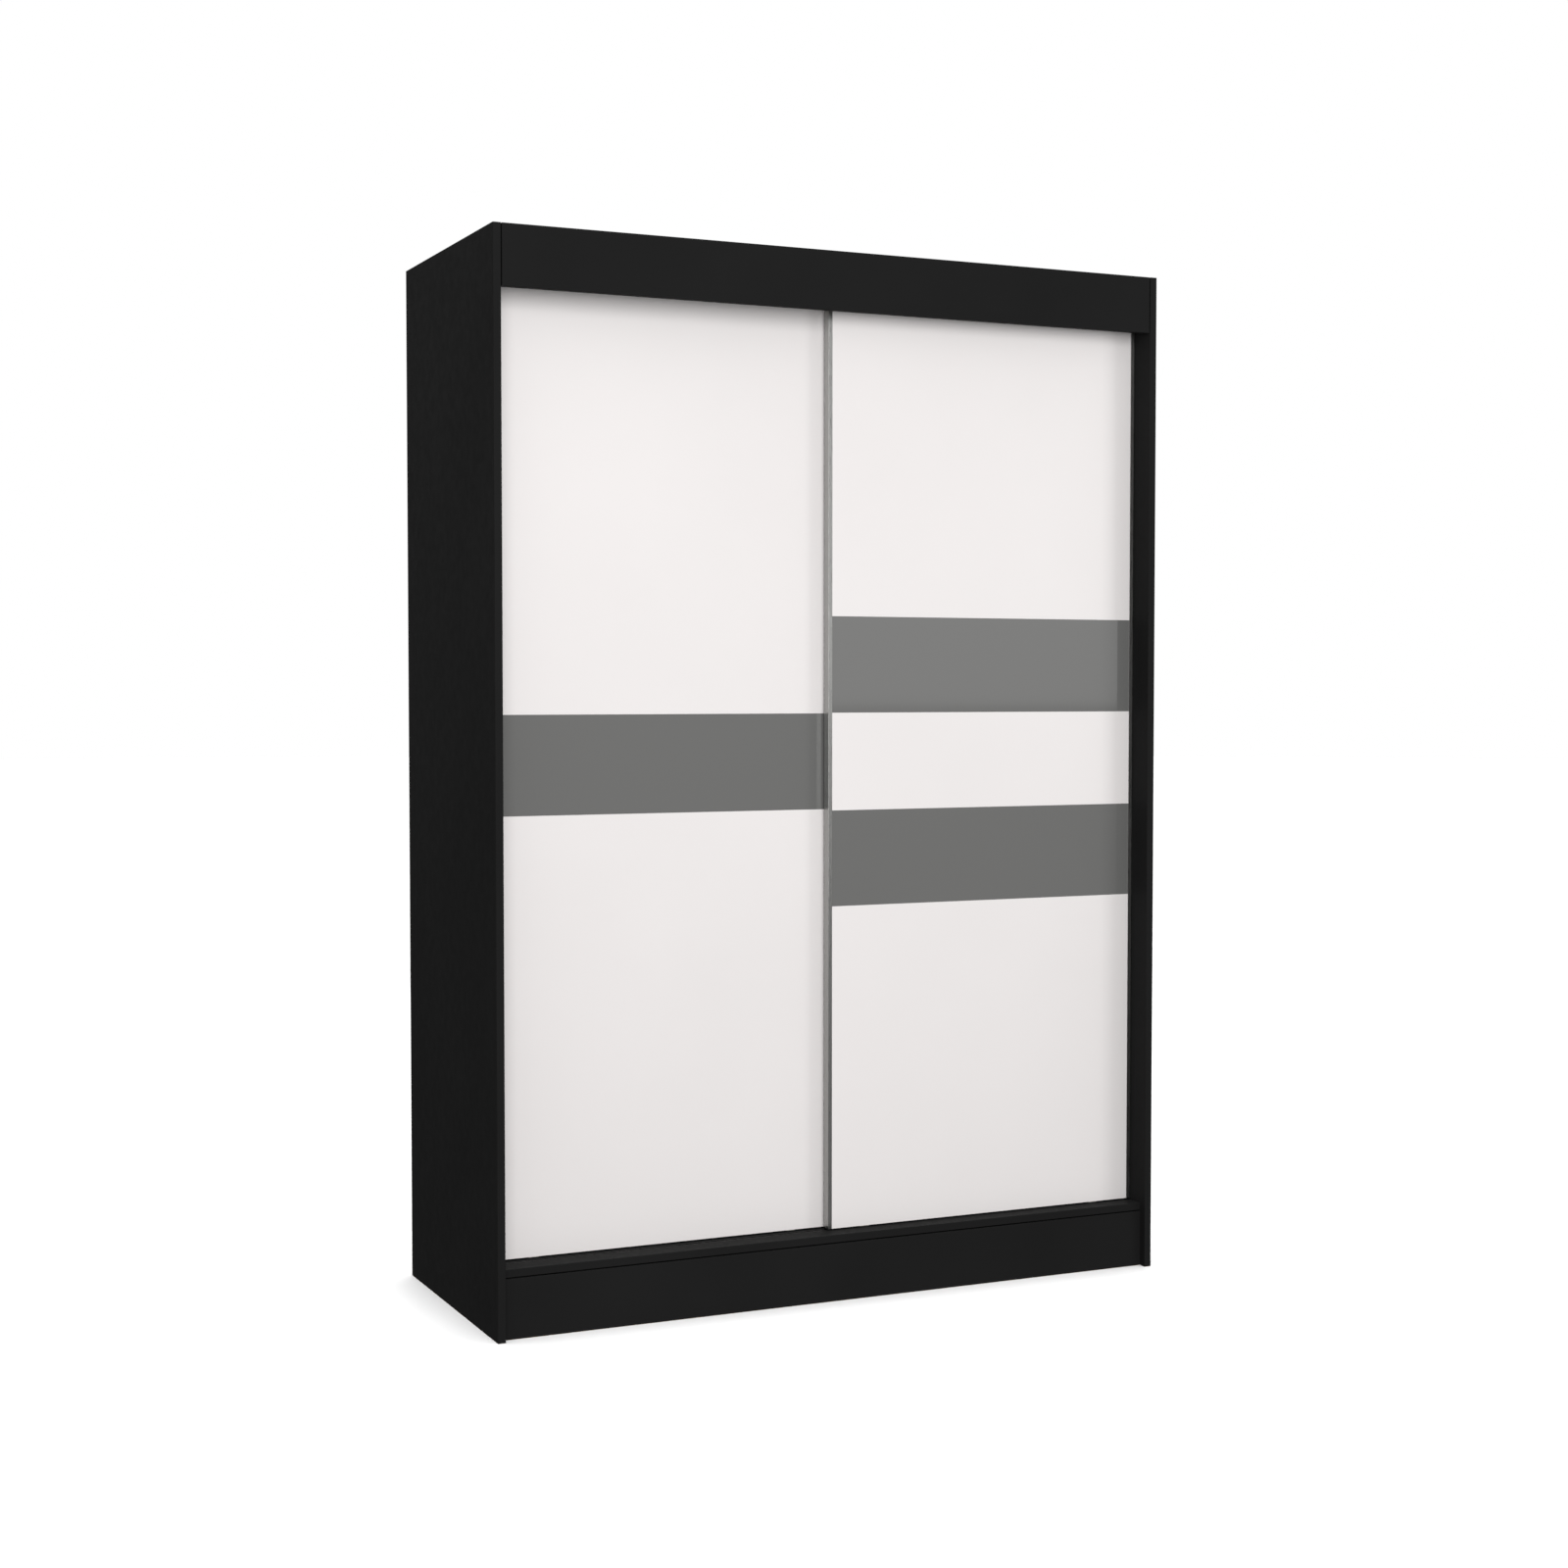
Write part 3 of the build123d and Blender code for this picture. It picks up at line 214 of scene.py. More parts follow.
@dataclass(frozen=True)
class CutMelamine(Melamine):
    """Melamine board whose hidden edges were left as sawn: pale chips under a dark face.

    The raw edges are those on the floor and those at the plane called rear.
    """

    rear: float = 0.0
    chip: float = 0.0025
    pale_chip: str = "#C3A172"
    dark_chip: str = "#7E5F3C"

    def fill(self, tree: bpy.types.NodeTree, shader: bpy.types.Node,
             place: bpy.types.NodeSocket) -> None:
        """Lay the foil, and wood chips of a real size on the sawn edges."""
        super().fill(tree, shader, place)
        foil = shader.inputs["Base Color"].links[0].from_socket
        cells = add_node(tree, "ShaderNodeTexVoronoi", {"Vector": place, "Scale": 1 / self.chip})
        tone = add_node(tree, "ShaderNodeSeparateColor", {"Color": cells.outputs["Color"]})
        chips = add_node(tree, "ShaderNodeMix",
                         {SHARE: tone.outputs["Red"], FIRST: linear(self.pale_chip),
                          SECOND: linear(self.dark_chip)}, data_type="RGBA")
        axes = add_node(tree, "ShaderNodeSeparateXYZ", {"Vector": place})
        low = add_node(tree, "ShaderNodeMath", {0: axes.outputs["Z"], 1: SKIN},
                       operation="LESS_THAN")
        back = add_node(tree, "ShaderNodeMath", {0: axes.outputs["Y"], 1: self.rear - SKIN},
                        operation="GREATER_THAN")
        sawn = add_node(tree, "ShaderNodeMath",
                        {0: low.outputs["Value"], 1: back.outputs["Value"]}, operation="MAXIMUM")
        board = add_node(tree, "ShaderNodeMix",
                         {SHARE: sawn.outputs["Value"], FIRST: foil,
                          SECOND: chips.outputs[MIXED]}, data_type="RGBA")
        feed(tree, shader, {"Base Color": board.outputs[MIXED]})


@dataclass(frozen=True)
class BackPaintedGlass(Finish):
    """Float glass painted grey behind: a deep even colour under a mirror-smooth face."""

    paint: str = "#787775"
    cloud: str = "#747370"
    cloud_size: float = 0.5
    paint_roughness: float = 0.55
    face_roughness: float = 0.03
    refraction: float = 1.52

    def fill(self, tree: bpy.types.NodeTree, shader: bpy.types.Node,
             place: bpy.types.NodeSocket) -> None:
        """Lay the paint under a clear coat with the refraction of glass."""
        coat = add_node(tree, "ShaderNodeMix",
                        {SHARE: mottle(tree, place, self.cloud_size), FIRST: linear(self.paint),
                         SECOND: linear(self.cloud)}, data_type="RGBA")
        feed(tree, shader, {
            "Base Color": coat.outputs[MIXED],
            "Roughness": self.paint_roughness,
            "Specular IOR Level": 0.0,
            "Coat Weight": 1.0,
            "Coat Roughness": self.face_roughness,
            "Coat IOR": self.refraction})


class Run(Enum):
    """The way a profile was extruded, as how much finer its pattern is along X, Y and Z."""

    ALONG_X = (0.02, 1.0, 1.0)
    ALONG_Z = (1.0, 1.0, 0.02)


@dataclass(frozen=True)
class AnodisedAluminium(Finish):
    """Extruded aluminium, etched and anodised: satin with faint die lines along it."""

    run: Run = Run.ALONG_Z
    base: str = "#A6A6A4"
    shade: str = "#9E9E9C"
    cloud: float = 0.25
    line: float = 0.0008
    roughness: float = 0.3
    smoother: float = 0.05
    rougher: float = 0.06
    stretch: float = 0.4
    depth: float = 0.00001
    strength: float = 0.2

    def fill(self, tree: bpy.types.NodeTree, shader: bpy.types.Node,
             place: bpy.types.NodeSocket) -> None:
        """Lay the die lines, wide enough apart to show, in colour, gloss and relief."""
        lines = mottle(tree, place, self.line, stretch=self.run.value)
        clouds = mottle(tree, place, self.cloud, stretch=self.run.value)
        metal = add_node(tree, "ShaderNodeMix",
                         {SHARE: clouds, FIRST: linear(self.base), SECOND: linear(self.shade)},
                         data_type="RGBA")
        gloss = add_node(tree, "ShaderNodeMapRange",
                         {"Value": lines, "To Min": self.roughness - self.smoother,
                          "To Max": self.roughness + self.rougher})
        relief = add_node(tree, "ShaderNodeBump", {"Height": lines, "Distance": self.depth,
                                                   "Strength": self.strength})
        feed(tree, shader, {
            "Base Color": metal.outputs[MIXED],
            "Metallic": 1.0,
            "Roughness": gloss.outputs["Result"],
            "Anisotropic": self.stretch,
            "Normal": relief.outputs["Normal"]})


@dataclass(frozen=True)
class PlatedMetal(Finish):
    """Plated steel or zinc: a bright metal with the faint clouding of a plating bath."""

    base: str = "#B9BBC0"
    tint: str = "#A3A5A8"
    patch: float = 0.006
    gloss_patch: float = 0.003
    roughness: float = 0.28
    smoother: float = 0.05
    rougher: float = 0.08

    def fill(self, tree: bpy.types.NodeTree, shader: bpy.types.Node,
             place: bpy.types.NodeSocket) -> None:
        """Lay the clouding in colour and gloss."""
        plating = add_node(tree, "ShaderNodeMix",
                           {SHARE: mottle(tree, place, self.patch), FIRST: linear(self.base),
                            SECOND: linear(self.tint)}, data_type="RGBA")
        feed(tree, shader, {
            "Base Color": plating.outputs[MIXED],
            "Metallic": 1.0,
            "Roughness": mottle(tree, place, self.gloss_patch, self.roughness - self.smoother,
                                self.roughness + self.rougher)})


@dataclass(frozen=True)
class MouldedPlastic(Finish):
    """Injection-moulded plastic: a fine spark-eroded grain that breaks up the gloss."""

    base: str = "#1D1D1D"
    shade: str = "#191919"
    cloud: float = 0.02
    grain: float = 0.0006
    depth: float = 0.00002
    strength: float = 0.4
    roughness: float = 0.5
    drift: float = 0.05
    drift_patch: float = 0.004

    def fill(self, tree: bpy.types.NodeTree, shader: bpy.types.Node,
             place: bpy.types.NodeSocket) -> None:
        """Lay the moulding grain and a faint drift of colour."""
        resin = add_node(tree, "ShaderNodeMix",
                         {SHARE: mottle(tree, place, self.cloud), FIRST: linear(self.base),
                          SECOND: linear(self.shade)}, data_type="RGBA")
        relief = add_node(tree, "ShaderNodeBump",
                          {"Height": mottle(tree, place, self.grain), "Distance": self.depth,
                           "Strength": self.strength})
        feed(tree, shader, {
            "Base Color": resin.outputs[MIXED],
            "Roughness": mottle(tree, place, self.drift_patch, self.roughness - self.drift,
                                self.roughness + self.drift),
            "Normal": relief.outputs["Normal"]})


@dataclass(frozen=True)
class Hardboard(Finish):
    """Hardboard: pressed wood fibre, brown and bare behind, lacquered black on its face.

    The lacquered side is the plane called face.
    """

    face: float = 0.0
    base: str = "#1E1E1E"
    fibre: str = "#262626"
    bare: str = "#8A6A4A"
    bare_fibre: str = "#6B4E34"
    fibre_size: float = 0.004
    fibre_run: tuple[float, float, float] = (1.0, 1.0, 0.35)
    smoothest: float = 0.55
    roughest: float = 0.75
    gloss_patch: float = 0.01
    specular: float = 0.25
    depth: float = 0.00008
    strength: float = 0.4

    def fill(self, tree: bpy.types.NodeTree, shader: bpy.types.Node,
             place: bpy.types.NodeSocket) -> None:
        """Lay the fibres, a little longer upright, in colour and relief on both sides."""
        fibres = mottle(tree, place, self.fibre_size, stretch=self.fibre_run)
        lacquer = add_node(tree, "ShaderNodeMix", {SHARE: fibres, FIRST: linear(self.base),
                                                   SECOND: linear(self.fibre)}, data_type="RGBA")
        bare = add_node(tree, "ShaderNodeMix",
                        {SHARE: fibres, FIRST: linear(self.bare),
                         SECOND: linear(self.bare_fibre)}, data_type="RGBA")
        axes = add_node(tree, "ShaderNodeSeparateXYZ", {"Vector": place})
        behind = add_node(tree, "ShaderNodeMath", {0: axes.outputs["Y"], 1: self.face + SKIN},
                          operation="GREATER_THAN")
        sheet = add_node(tree, "ShaderNodeMix",
                         {SHARE: behind.outputs["Value"], FIRST: lacquer.outputs[MIXED],
                          SECOND: bare.outputs[MIXED]}, data_type="RGBA")
        relief = add_node(tree, "ShaderNodeBump", {"Height": fibres, "Distance": self.depth,
                                                   "Strength": self.strength})
        feed(tree, shader, {
            "Base Color": sheet.outputs[MIXED],
            "Roughness": mottle(tree, place, self.gloss_patch, self.smoothest, self.roughest),
            "Specular IOR Level": self.specular,
            "Normal": relief.outputs["Normal"]})


@dataclass(frozen=True)
class RawWood(Finish):
    """Turned beech with no finish: pale, with short darker flecks along the grain."""

    base: str = "#C9A77E"
    fleck: str = "#A67F55"
    fleck_size: float = 0.0015
    fleck_run: tuple[float, float, float] = (0.12, 1.0, 1.0)
    roughness: float = 0.7
    depth: float = 0.00005
    strength: float = 0.4

    def fill(self, tree: bpy.types.NodeTree, shader: bpy.types.Node,
             place: bpy.types.NodeSocket) -> None:
        """Lay the flecks along X, the way the dowels lie."""
        flecks = mottle(tree, place, self.fleck_size, stretch=self.fleck_run)
        wood = add_node(tree, "ShaderNodeMix", {SHARE: flecks, FIRST: linear(self.base),
                                                SECOND: linear(self.fleck)}, data_type="RGBA")
        relief = add_node(tree, "ShaderNodeBump", {"Height": flecks, "Distance": self.depth,
                                                   "Strength": self.strength})
        feed(tree, shader, {
            "Base Color": wood.outputs[MIXED],
            "Roughness": self.roughness,
            "Normal": relief.outputs["Normal"]})


@dataclass(frozen=True)
class BrushPile(Finish):
    """Polypropylene pile of a dust seal: soft grey fibres with a dull sheen."""

    base: str = "#5A5A58"
    tip: str = "#74736F"
    tuft: float = 0.0015
    roughness: float = 0.8
    sheen: float = 0.3

    def fill(self, tree: bpy.types.NodeTree, shader: bpy.types.Node,
             place: bpy.types.NodeSocket) -> None:
        """Lay a change of shade from tuft to tuft."""
        tufts = add_node(tree, "ShaderNodeMix",
                         {SHARE: mottle(tree, place, self.tuft), FIRST: linear(self.base),
                          SECOND: linear(self.tip)}, data_type="RGBA")
        feed(tree, shader, {
            "Base Color": tufts.outputs[MIXED],
            "Roughness": self.roughness,
            "Sheen Weight": self.sheen})


@dataclass(frozen=True)
class StudioFloor(Finish):
    """Pale studio floor: matt white with the faintest mottling."""

    base: str = "#F7F7F7"
    shade: str = "#F4F4F4"
    cloud: float = 0.6
    roughness: float = 0.9

    def fill(self, tree: bpy.types.NodeTree, shader: bpy.types.Node,
             place: bpy.types.NodeSocket) -> None:
        """Lay the mottling over a matt white."""
        paint = add_node(tree, "ShaderNodeMix",
                         {SHARE: mottle(tree, place, self.cloud), FIRST: linear(self.base),
                          SECOND: linear(self.shade)}, data_type="RGBA")
        feed(tree, shader, {
            "Base Color": paint.outputs[MIXED],
            "Roughness": self.roughness,
            "Specular IOR Level": 0.0})


# Nearly black and neutral, with so little shine that the case reads as one dark frame.
BLACK_MELAMINE = Melamine("black_melamine_satin")
# A bright, faintly warm white whose satin sheen rolls softly from top to bottom of a door.
WHITE_MELAMINE = Melamine("white_melamine_satin", base="#F0ECEB", shade="#EEEAE9",
                          roughness=0.38, specular=0.4, pearl=0.0012)
# Flat mid grey that sharpens to a mirror where a lamp stands across from it.
GREY_GLASS = BackPaintedGlass("grey_back_painted_glass")
# Cool grey uprights that catch a long highlight and show where each door ends.
UPRIGHT_ALUMINIUM = AnodisedAluminium("anodised_aluminium_upright")
# The same grey metal lying down, so that its lines follow the track from side to side.
LEVEL_ALUMINIUM = AnodisedAluminium("anodised_aluminium_level", run=Run.ALONG_X)
# Dark metal with a dull gleam, which keeps the lower rails from standing out of the floor.
BLACK_ALUMINIUM = AnodisedAluminium("black_anodised_aluminium", run=Run.ALONG_X, base="#1F1F1E",
                                    shade="#1D1D1C", roughness=0.45)
# A mirror-bright bar, the one sparkling thing in the dark interior.
CHROME = PlatedMetal("chrome_plated_tube", base="#D6D7D9", tint="#CBCCCE", roughness=0.1,
                     patch=0.03, gloss_patch=0.015)
# Cold blue-grey of small steel hardware, cloudy enough not to look like chrome.
ZINC_PLATE = PlatedMetal("zinc_plated_steel")
# A warmer and duller grey that tells cast fittings from pressed ones.
ZINC_CASTING = PlatedMetal("nickel_plated_zinc_casting", base="#A9A7A1", tint="#94918B",
                           roughness=0.36)
# Matt black that sinks into the black boards, so blocks and stops stay unobtrusive.
BLACK_PLASTIC = MouldedPlastic("black_moulded_plastic")
# Dull mid grey that sets the wheel housings apart from the bright metal beside them.
GREY_PLASTIC = MouldedPlastic("grey_moulded_plastic", base="#7C7D7C", shade="#737473")
# Milky, slightly yellow white with a soft shine: the look of a running wheel.
WHITE_NYLON = MouldedPlastic("white_turned_nylon", base="#E4E1D8", shade="#DBD7CC",
                             roughness=0.35)
# Pale warm wood, plainly unlike anything else in the joints.
BEECH = RawWood("raw_beech")
# A soft line of grey that swallows light between the two doors.
PILE = BrushPile("grey_brush_pile")

# ------------------------------------------------------------------ shapes that repeat


class Trade(Enum):
    """The kinds of fastener that are drawn, each by the name of its geometry tree."""

    SCREW = "countersunk_screw"
    NAIL = "flat_head_nail"


def new_tree(name: str, sizes: dict[str, float]) -> tuple[bpy.types.NodeTree, bpy.types.Node]:
    """Start a geometry tree with named inputs for its sizes.

    Args:
        name: the tree's name.
        sizes: the sizes' names and what they start from.

    Returns:
        The tree and its Group Input node.
    """
    tree = bpy.data.node_groups.new(name, "GeometryNodeTree")
    tree.interface.new_socket("Places", in_out="INPUT", socket_type="NodeSocketGeometry")
    for label, value in sizes.items():
        socket = tree.interface.new_socket(label, in_out="INPUT", socket_type="NodeSocketFloat")
        socket.default_value = value
    tree.interface.new_socket("Finish", in_out="INPUT", socket_type="NodeSocketMaterial")
    tree.interface.new_socket("Pieces", in_out="OUTPUT", socket_type="NodeSocketGeometry")
    return tree, add_node(tree, "NodeGroupInput")


def close_tree(tree: bpy.types.NodeTree, given: bpy.types.Node,
               instances: bpy.types.NodeSocket) -> None:
    """End a geometry tree with real meshes in their finish.

    Args:
        tree: the tree.
        given: its Group Input node.
        instances: what the tree has put in place.
    """
    real = add_node(tree, "GeometryNodeRealizeInstances", {"Geometry": instances})
    done = add_node(tree, "GeometryNodeSetMaterial",
                    {"Geometry": real.outputs["Geometry"], "Material": given.outputs["Finish"]})
    add_node(tree, "NodeGroupOutput", {"Pieces": done.outputs["Geometry"]})


def work_out(tree: bpy.types.NodeTree, given: bpy.types.Node,
             sums: dict[str, tuple[str, Any, Any]]) -> dict[str, bpy.types.NodeSocket]:
    """Work out lengths from the sizes that a geometry tree is given.

    Args:
        tree: the geometry tree.
        given: its Group Input node.
        sums: each new length's operation and two terms. A term is a number, or the name of
            a size or of a length that comes before it.

    Returns:
        The sockets of the sizes and of the new lengths, by name.
    """
    known = {socket.name: socket for socket in given.outputs}
    for name, (operation, first, second) in sums.items():
        made = add_node(tree, "ShaderNodeMath",
                        {0: known.get(first, first), 1: known.get(second, second)},
                        operation=operation)
        known[name] = made.outputs["Value"]
    return known


def raised(tree: bpy.types.NodeTree, mesh: bpy.types.NodeSocket,
           height: bpy.types.NodeSocket | float) -> bpy.types.NodeSocket:
    """Move a shape along Z.

    Args:
        tree: the geometry tree.
        mesh: the shape's socket.
        height: how far.

    Returns:
        The moved shape's socket.
    """
    lift = add_node(tree, "ShaderNodeCombineXYZ", {"Z": height})
    moved = add_node(tree, "GeometryNodeTransform",
                     {"Geometry": mesh, "Translation": lift.outputs["Vector"]})
    return moved.outputs["Geometry"]


def turned(tree: bpy.types.NodeTree, sides: int, low_radius: bpy.types.NodeSocket,
           high_radius: bpy.types.NodeSocket, length: bpy.types.NodeSocket,
           bottom: bpy.types.NodeSocket | float) -> bpy.types.NodeSocket:
    """Make a closed cone or cylinder that stands on a height.

    Args:
        tree: the geometry tree.
        sides: how many facets go round it.
        low_radius: its radius at the bottom.
        high_radius: its radius at the top.
        length: its height.
        bottom: the height that it stands on.

    Returns:
        The shape's socket.
    """
    cone = add_node(tree, "GeometryNodeMeshCone",
                    {"Vertices": sides, "Radius Bottom": low_radius, "Radius Top": high_radius,
                     "Depth": length})
    return raised(tree, cone.outputs["Mesh"], bottom)


def on_axes(tree: bpy.types.NodeTree, given: bpy.types.Node,
            shape: bpy.types.NodeSocket) -> bpy.types.NodeSocket:
    """Put one shape at each place, with its Z along the direction stored there.

    Args:
        tree: the geometry tree.
        given: its Group Input node.
        shape: the shape, drawn about the origin.

    Returns:
        The instances' socket.
    """
    aim = add_node(tree, "GeometryNodeInputNamedAttribute", {"Name": "aim"},
                   data_type="FLOAT_VECTOR")
    turn = add_node(tree, "FunctionNodeAlignRotationToVector",
                    {"Vector": aim.outputs["Attribute"]}, axis="Z")
    put = add_node(tree, "GeometryNodeInstanceOnPoints",
                   {"Points": given.outputs["Places"], "Instance": shape,
                    "Rotation": turn.outputs["Rotation"]})
    return put.outputs["Instances"]


def screw_tree() -> bpy.types.NodeTree:
    """Draw a countersunk cross-head screw whose head's face is at the origin.

    Returns:
        The tree, which puts one screw at each place.
    """
    tree, given = new_tree(Trade.SCREW.value, {
        "Length": 14 * MM, "Shank Radius": 1.75 * MM, "Head Radius": 3.5 * MM,
        "Head Height": 2.0 * MM, "Point": 2.0 * MM, "Recess Radius": 2.1 * MM,
        "Recess Depth": 1.6 * MM})
    size = work_out(tree, given, {
        "Tip": ("MULTIPLY", "Length", -1.0),
        "Shank Foot": ("ADD", "Tip", "Point"),
        "Head Foot": ("MULTIPLY", "Head Height", -1.0),
        "Shank Length": ("SUBTRACT", "Head Foot", "Shank Foot"),
        "Tip Radius": ("MULTIPLY", "Shank Radius", 0.1),
        "Recess Foot": ("MULTIPLY", "Recess Depth", -1.0),
        "Recess Tip": ("MULTIPLY", "Recess Radius", 0.35)})
    shank = size["Shank Radius"]
    body = add_node(tree, "GeometryNodeMeshBoolean", {"Mesh 2": [
        turned(tree, SHANK_SIDES, shank, size["Head Radius"], size["Head Height"],
               size["Head Foot"]),
        turned(tree, SHANK_SIDES, shank, shank, size["Shank Length"], size["Shank Foot"]),
        turned(tree, SHANK_SIDES, size["Tip Radius"], shank, size["Point"], size["Tip"]),
    ]}, operation="UNION", solver="EXACT")
    arm = turned(tree, ARM_SIDES, size["Recess Tip"], size["Recess Radius"],
                 size["Recess Depth"], size["Recess Foot"])
    arms = [add_node(tree, "GeometryNodeTransform",
                     {"Geometry": arm, "Scale": ARM_SCALE, "Rotation": (0.0, 0.0, angle)}
                     ).outputs["Geometry"] for angle in (0.0, math.pi / 2)]
    cut = add_node(tree, "GeometryNodeMeshBoolean",
                   {"Mesh 1": body.outputs["Mesh"], "Mesh 2": arms},
                   operation="DIFFERENCE", solver="EXACT")
    close_tree(tree, given, on_axes(tree, given, cut.outputs["Mesh"]))
    return tree


def nail_tree() -> bpy.types.NodeTree:
    """Draw a back-panel nail whose head lies on the sheet at the origin.

    Returns:
        The tree, which puts one nail at each place.
    """
    tree, given = new_tree(Trade.NAIL.value, {
        "Length": 18 * MM, "Shank Radius": 0.9 * MM, "Head Radius": 2.5 * MM,
        "Head Height": 1.0 * MM, "Point": 1.8 * MM})
    size = work_out(tree, given, {
        "Tip": ("MULTIPLY", "Length", -1.0),
        "Shank Foot": ("ADD", "Tip", "Point"),
        "Shank Length": ("SUBTRACT", 0.0, "Shank Foot"),
        "Tip Radius": ("MULTIPLY", "Shank Radius", 0.1),
        "Rim": ("MULTIPLY", "Head Height", 0.6),
        "Crown": ("MULTIPLY", "Head Height", 0.4),
        "Crown Radius": ("MULTIPLY", "Head Radius", 0.75)})
    shank, head = size["Shank Radius"], size["Head Radius"]
    body = add_node(tree, "GeometryNodeMeshBoolean", {"Mesh 2": [
        turned(tree, NAIL_SIDES, head, head, size["Rim"], 0.0),
        turned(tree, NAIL_SIDES, head, size["Crown Radius"], size["Crown"], size["Rim"]),
        turned(tree, NAIL_SIDES, shank, shank, size["Shank Length"], size["Shank Foot"]),
        turned(tree, NAIL_SIDES, size["Tip Radius"], shank, size["Point"], size["Tip"]),
    ]}, operation="UNION", solver="EXACT")
    close_tree(tree, given, on_axes(tree, given, body.outputs["Mesh"]))
    return tree


def pile_tree(seed: int) -> bpy.types.NodeTree:
    """Draw a strip of bristle tufts that stand along +Y on a woven backing.

    Args:
        seed: what the tufts' lean is drawn from.

    Returns:
        The tree, which draws the strip from its inputs alone.
    """
    tree, given = new_tree("brush_strip", {
        "Width": 4.8 * MM, "Height": 1.956, "Depth": 6.2 * MM, "Backing": 1.2 * MM,
        "Pitch": 1.6 * MM, "Row Pitch": 1.4 * MM, "Tuft Radius": 0.6 * MM, "Lean": 0.1})
    size = work_out(tree, given, {
        "Margin": ("MULTIPLY", "Tuft Radius", 4.0),
        "Rows Width": ("MULTIPLY", "Row Pitch", 2.0),
        "Rows Height": ("SUBTRACT", "Height", "Margin"),
        "Count": ("DIVIDE", "Rows Height", "Pitch"),
        "Tuft Length": ("MULTIPLY", "Depth", 0.74),
        "Tuft Tip": ("MULTIPLY", "Tuft Radius", 0.7),
        "Lean Back": ("MULTIPLY", "Lean", -1.0),
        "Backing Middle": ("MULTIPLY", "Backing", 0.5)})
    whole = add_node(tree, "FunctionNodeFloatToInt", {"Float": size["Count"]},
                     rounding_mode="FLOOR")
    grid = add_node(tree, "GeometryNodeMeshGrid",
                    {"Size X": size["Rows Width"], "Size Y": size["Rows Height"],
                     "Vertices X": PILE_ROWS, "Vertices Y": whole.outputs["Integer"]})
    tuft = turned(tree, TUFT_SIDES, size["Tuft Radius"], size["Tuft Tip"], size["Tuft Length"],
                  size["Backing"])
    low = add_node(tree, "ShaderNodeCombineXYZ",
                   {"X": size["Lean Back"], "Y": size["Lean Back"]})
    high = add_node(tree, "ShaderNodeCombineXYZ",
                    {"X": size["Lean"], "Y": size["Lean"], "Z": math.tau})
    lean = add_node(tree, "FunctionNodeRandomValue",
                    {"Min": low.outputs["Vector"], "Max": high.outputs["Vector"], "Seed": seed},
                    data_type="FLOAT_VECTOR")
    tufts = add_node(tree, "GeometryNodeInstanceOnPoints",
                     {"Points": grid.outputs["Mesh"], "Instance": tuft,
                      "Rotation": lean.outputs["Value"]})
    slab = add_node(tree, "ShaderNodeCombineXYZ",
                    {"X": size["Width"], "Y": size["Height"], "Z": size["Backing"]})
    backing = add_node(tree, "GeometryNodeMeshCube", {"Size": slab.outputs["Vector"]})
    strip = add_node(tree, "GeometryNodeJoinGeometry", {"Geometry": [
        raised(tree, backing.outputs["Mesh"], size["Backing Middle"]),
        tufts.outputs["Instances"]]})
    upright = add_node(tree, "GeometryNodeTransform",
                       {"Geometry": strip.outputs["Geometry"],
                        "Rotation": (-math.pi / 2, 0.0, 0.0)})
    close_tree(tree, given, upright.outputs["Geometry"])
    return tree


def grown(name: str, tree: bpy.types.NodeTree, finish: Finish, places: list[Vector],
          aims: list[Vector], sizes: dict[str, float]) -> bpy.types.Object:
    """Run a geometry tree on a set of places and keep the result as a plain mesh.

    Args:
        name: the new piece's name.
        tree: the geometry tree.
        finish: the surface of everything that the tree makes.
        places: where the tree's shapes go.
        aims: the direction that each shape points in, one for each place.
        sizes: the tree's inputs that differ from what they start from.

    Returns:
        The new piece, at the origin.
    """
    points = bpy.data.meshes.new(f"{name}_places")
    points.from_pydata(places, [], [])
    stored = points.attributes.new("aim", "FLOAT_VECTOR", "POINT")
    stored.data.foreach_set("vector", [value for aim in aims for value in aim])
    piece = bpy.data.objects.new(name, points)
    bpy.context.scene.collection.objects.link(piece)
    maker = piece.modifiers.new(tree.name, "NODES")
    maker.node_group = tree
    values = {**sizes, "Finish": finish.material()}
    for item in tree.interface.items_tree:
        if item.item_type == "SOCKET" and item.in_out == "INPUT" and item.name in values:
            maker[item.identifier] = values[item.name]
    depsgraph = bpy.context.evaluated_depsgraph_get()
    mesh = bpy.data.meshes.new_from_object(piece.evaluated_get(depsgraph), depsgraph=depsgraph)
    piece.modifiers.remove(maker)
    piece.data = mesh
    return piece


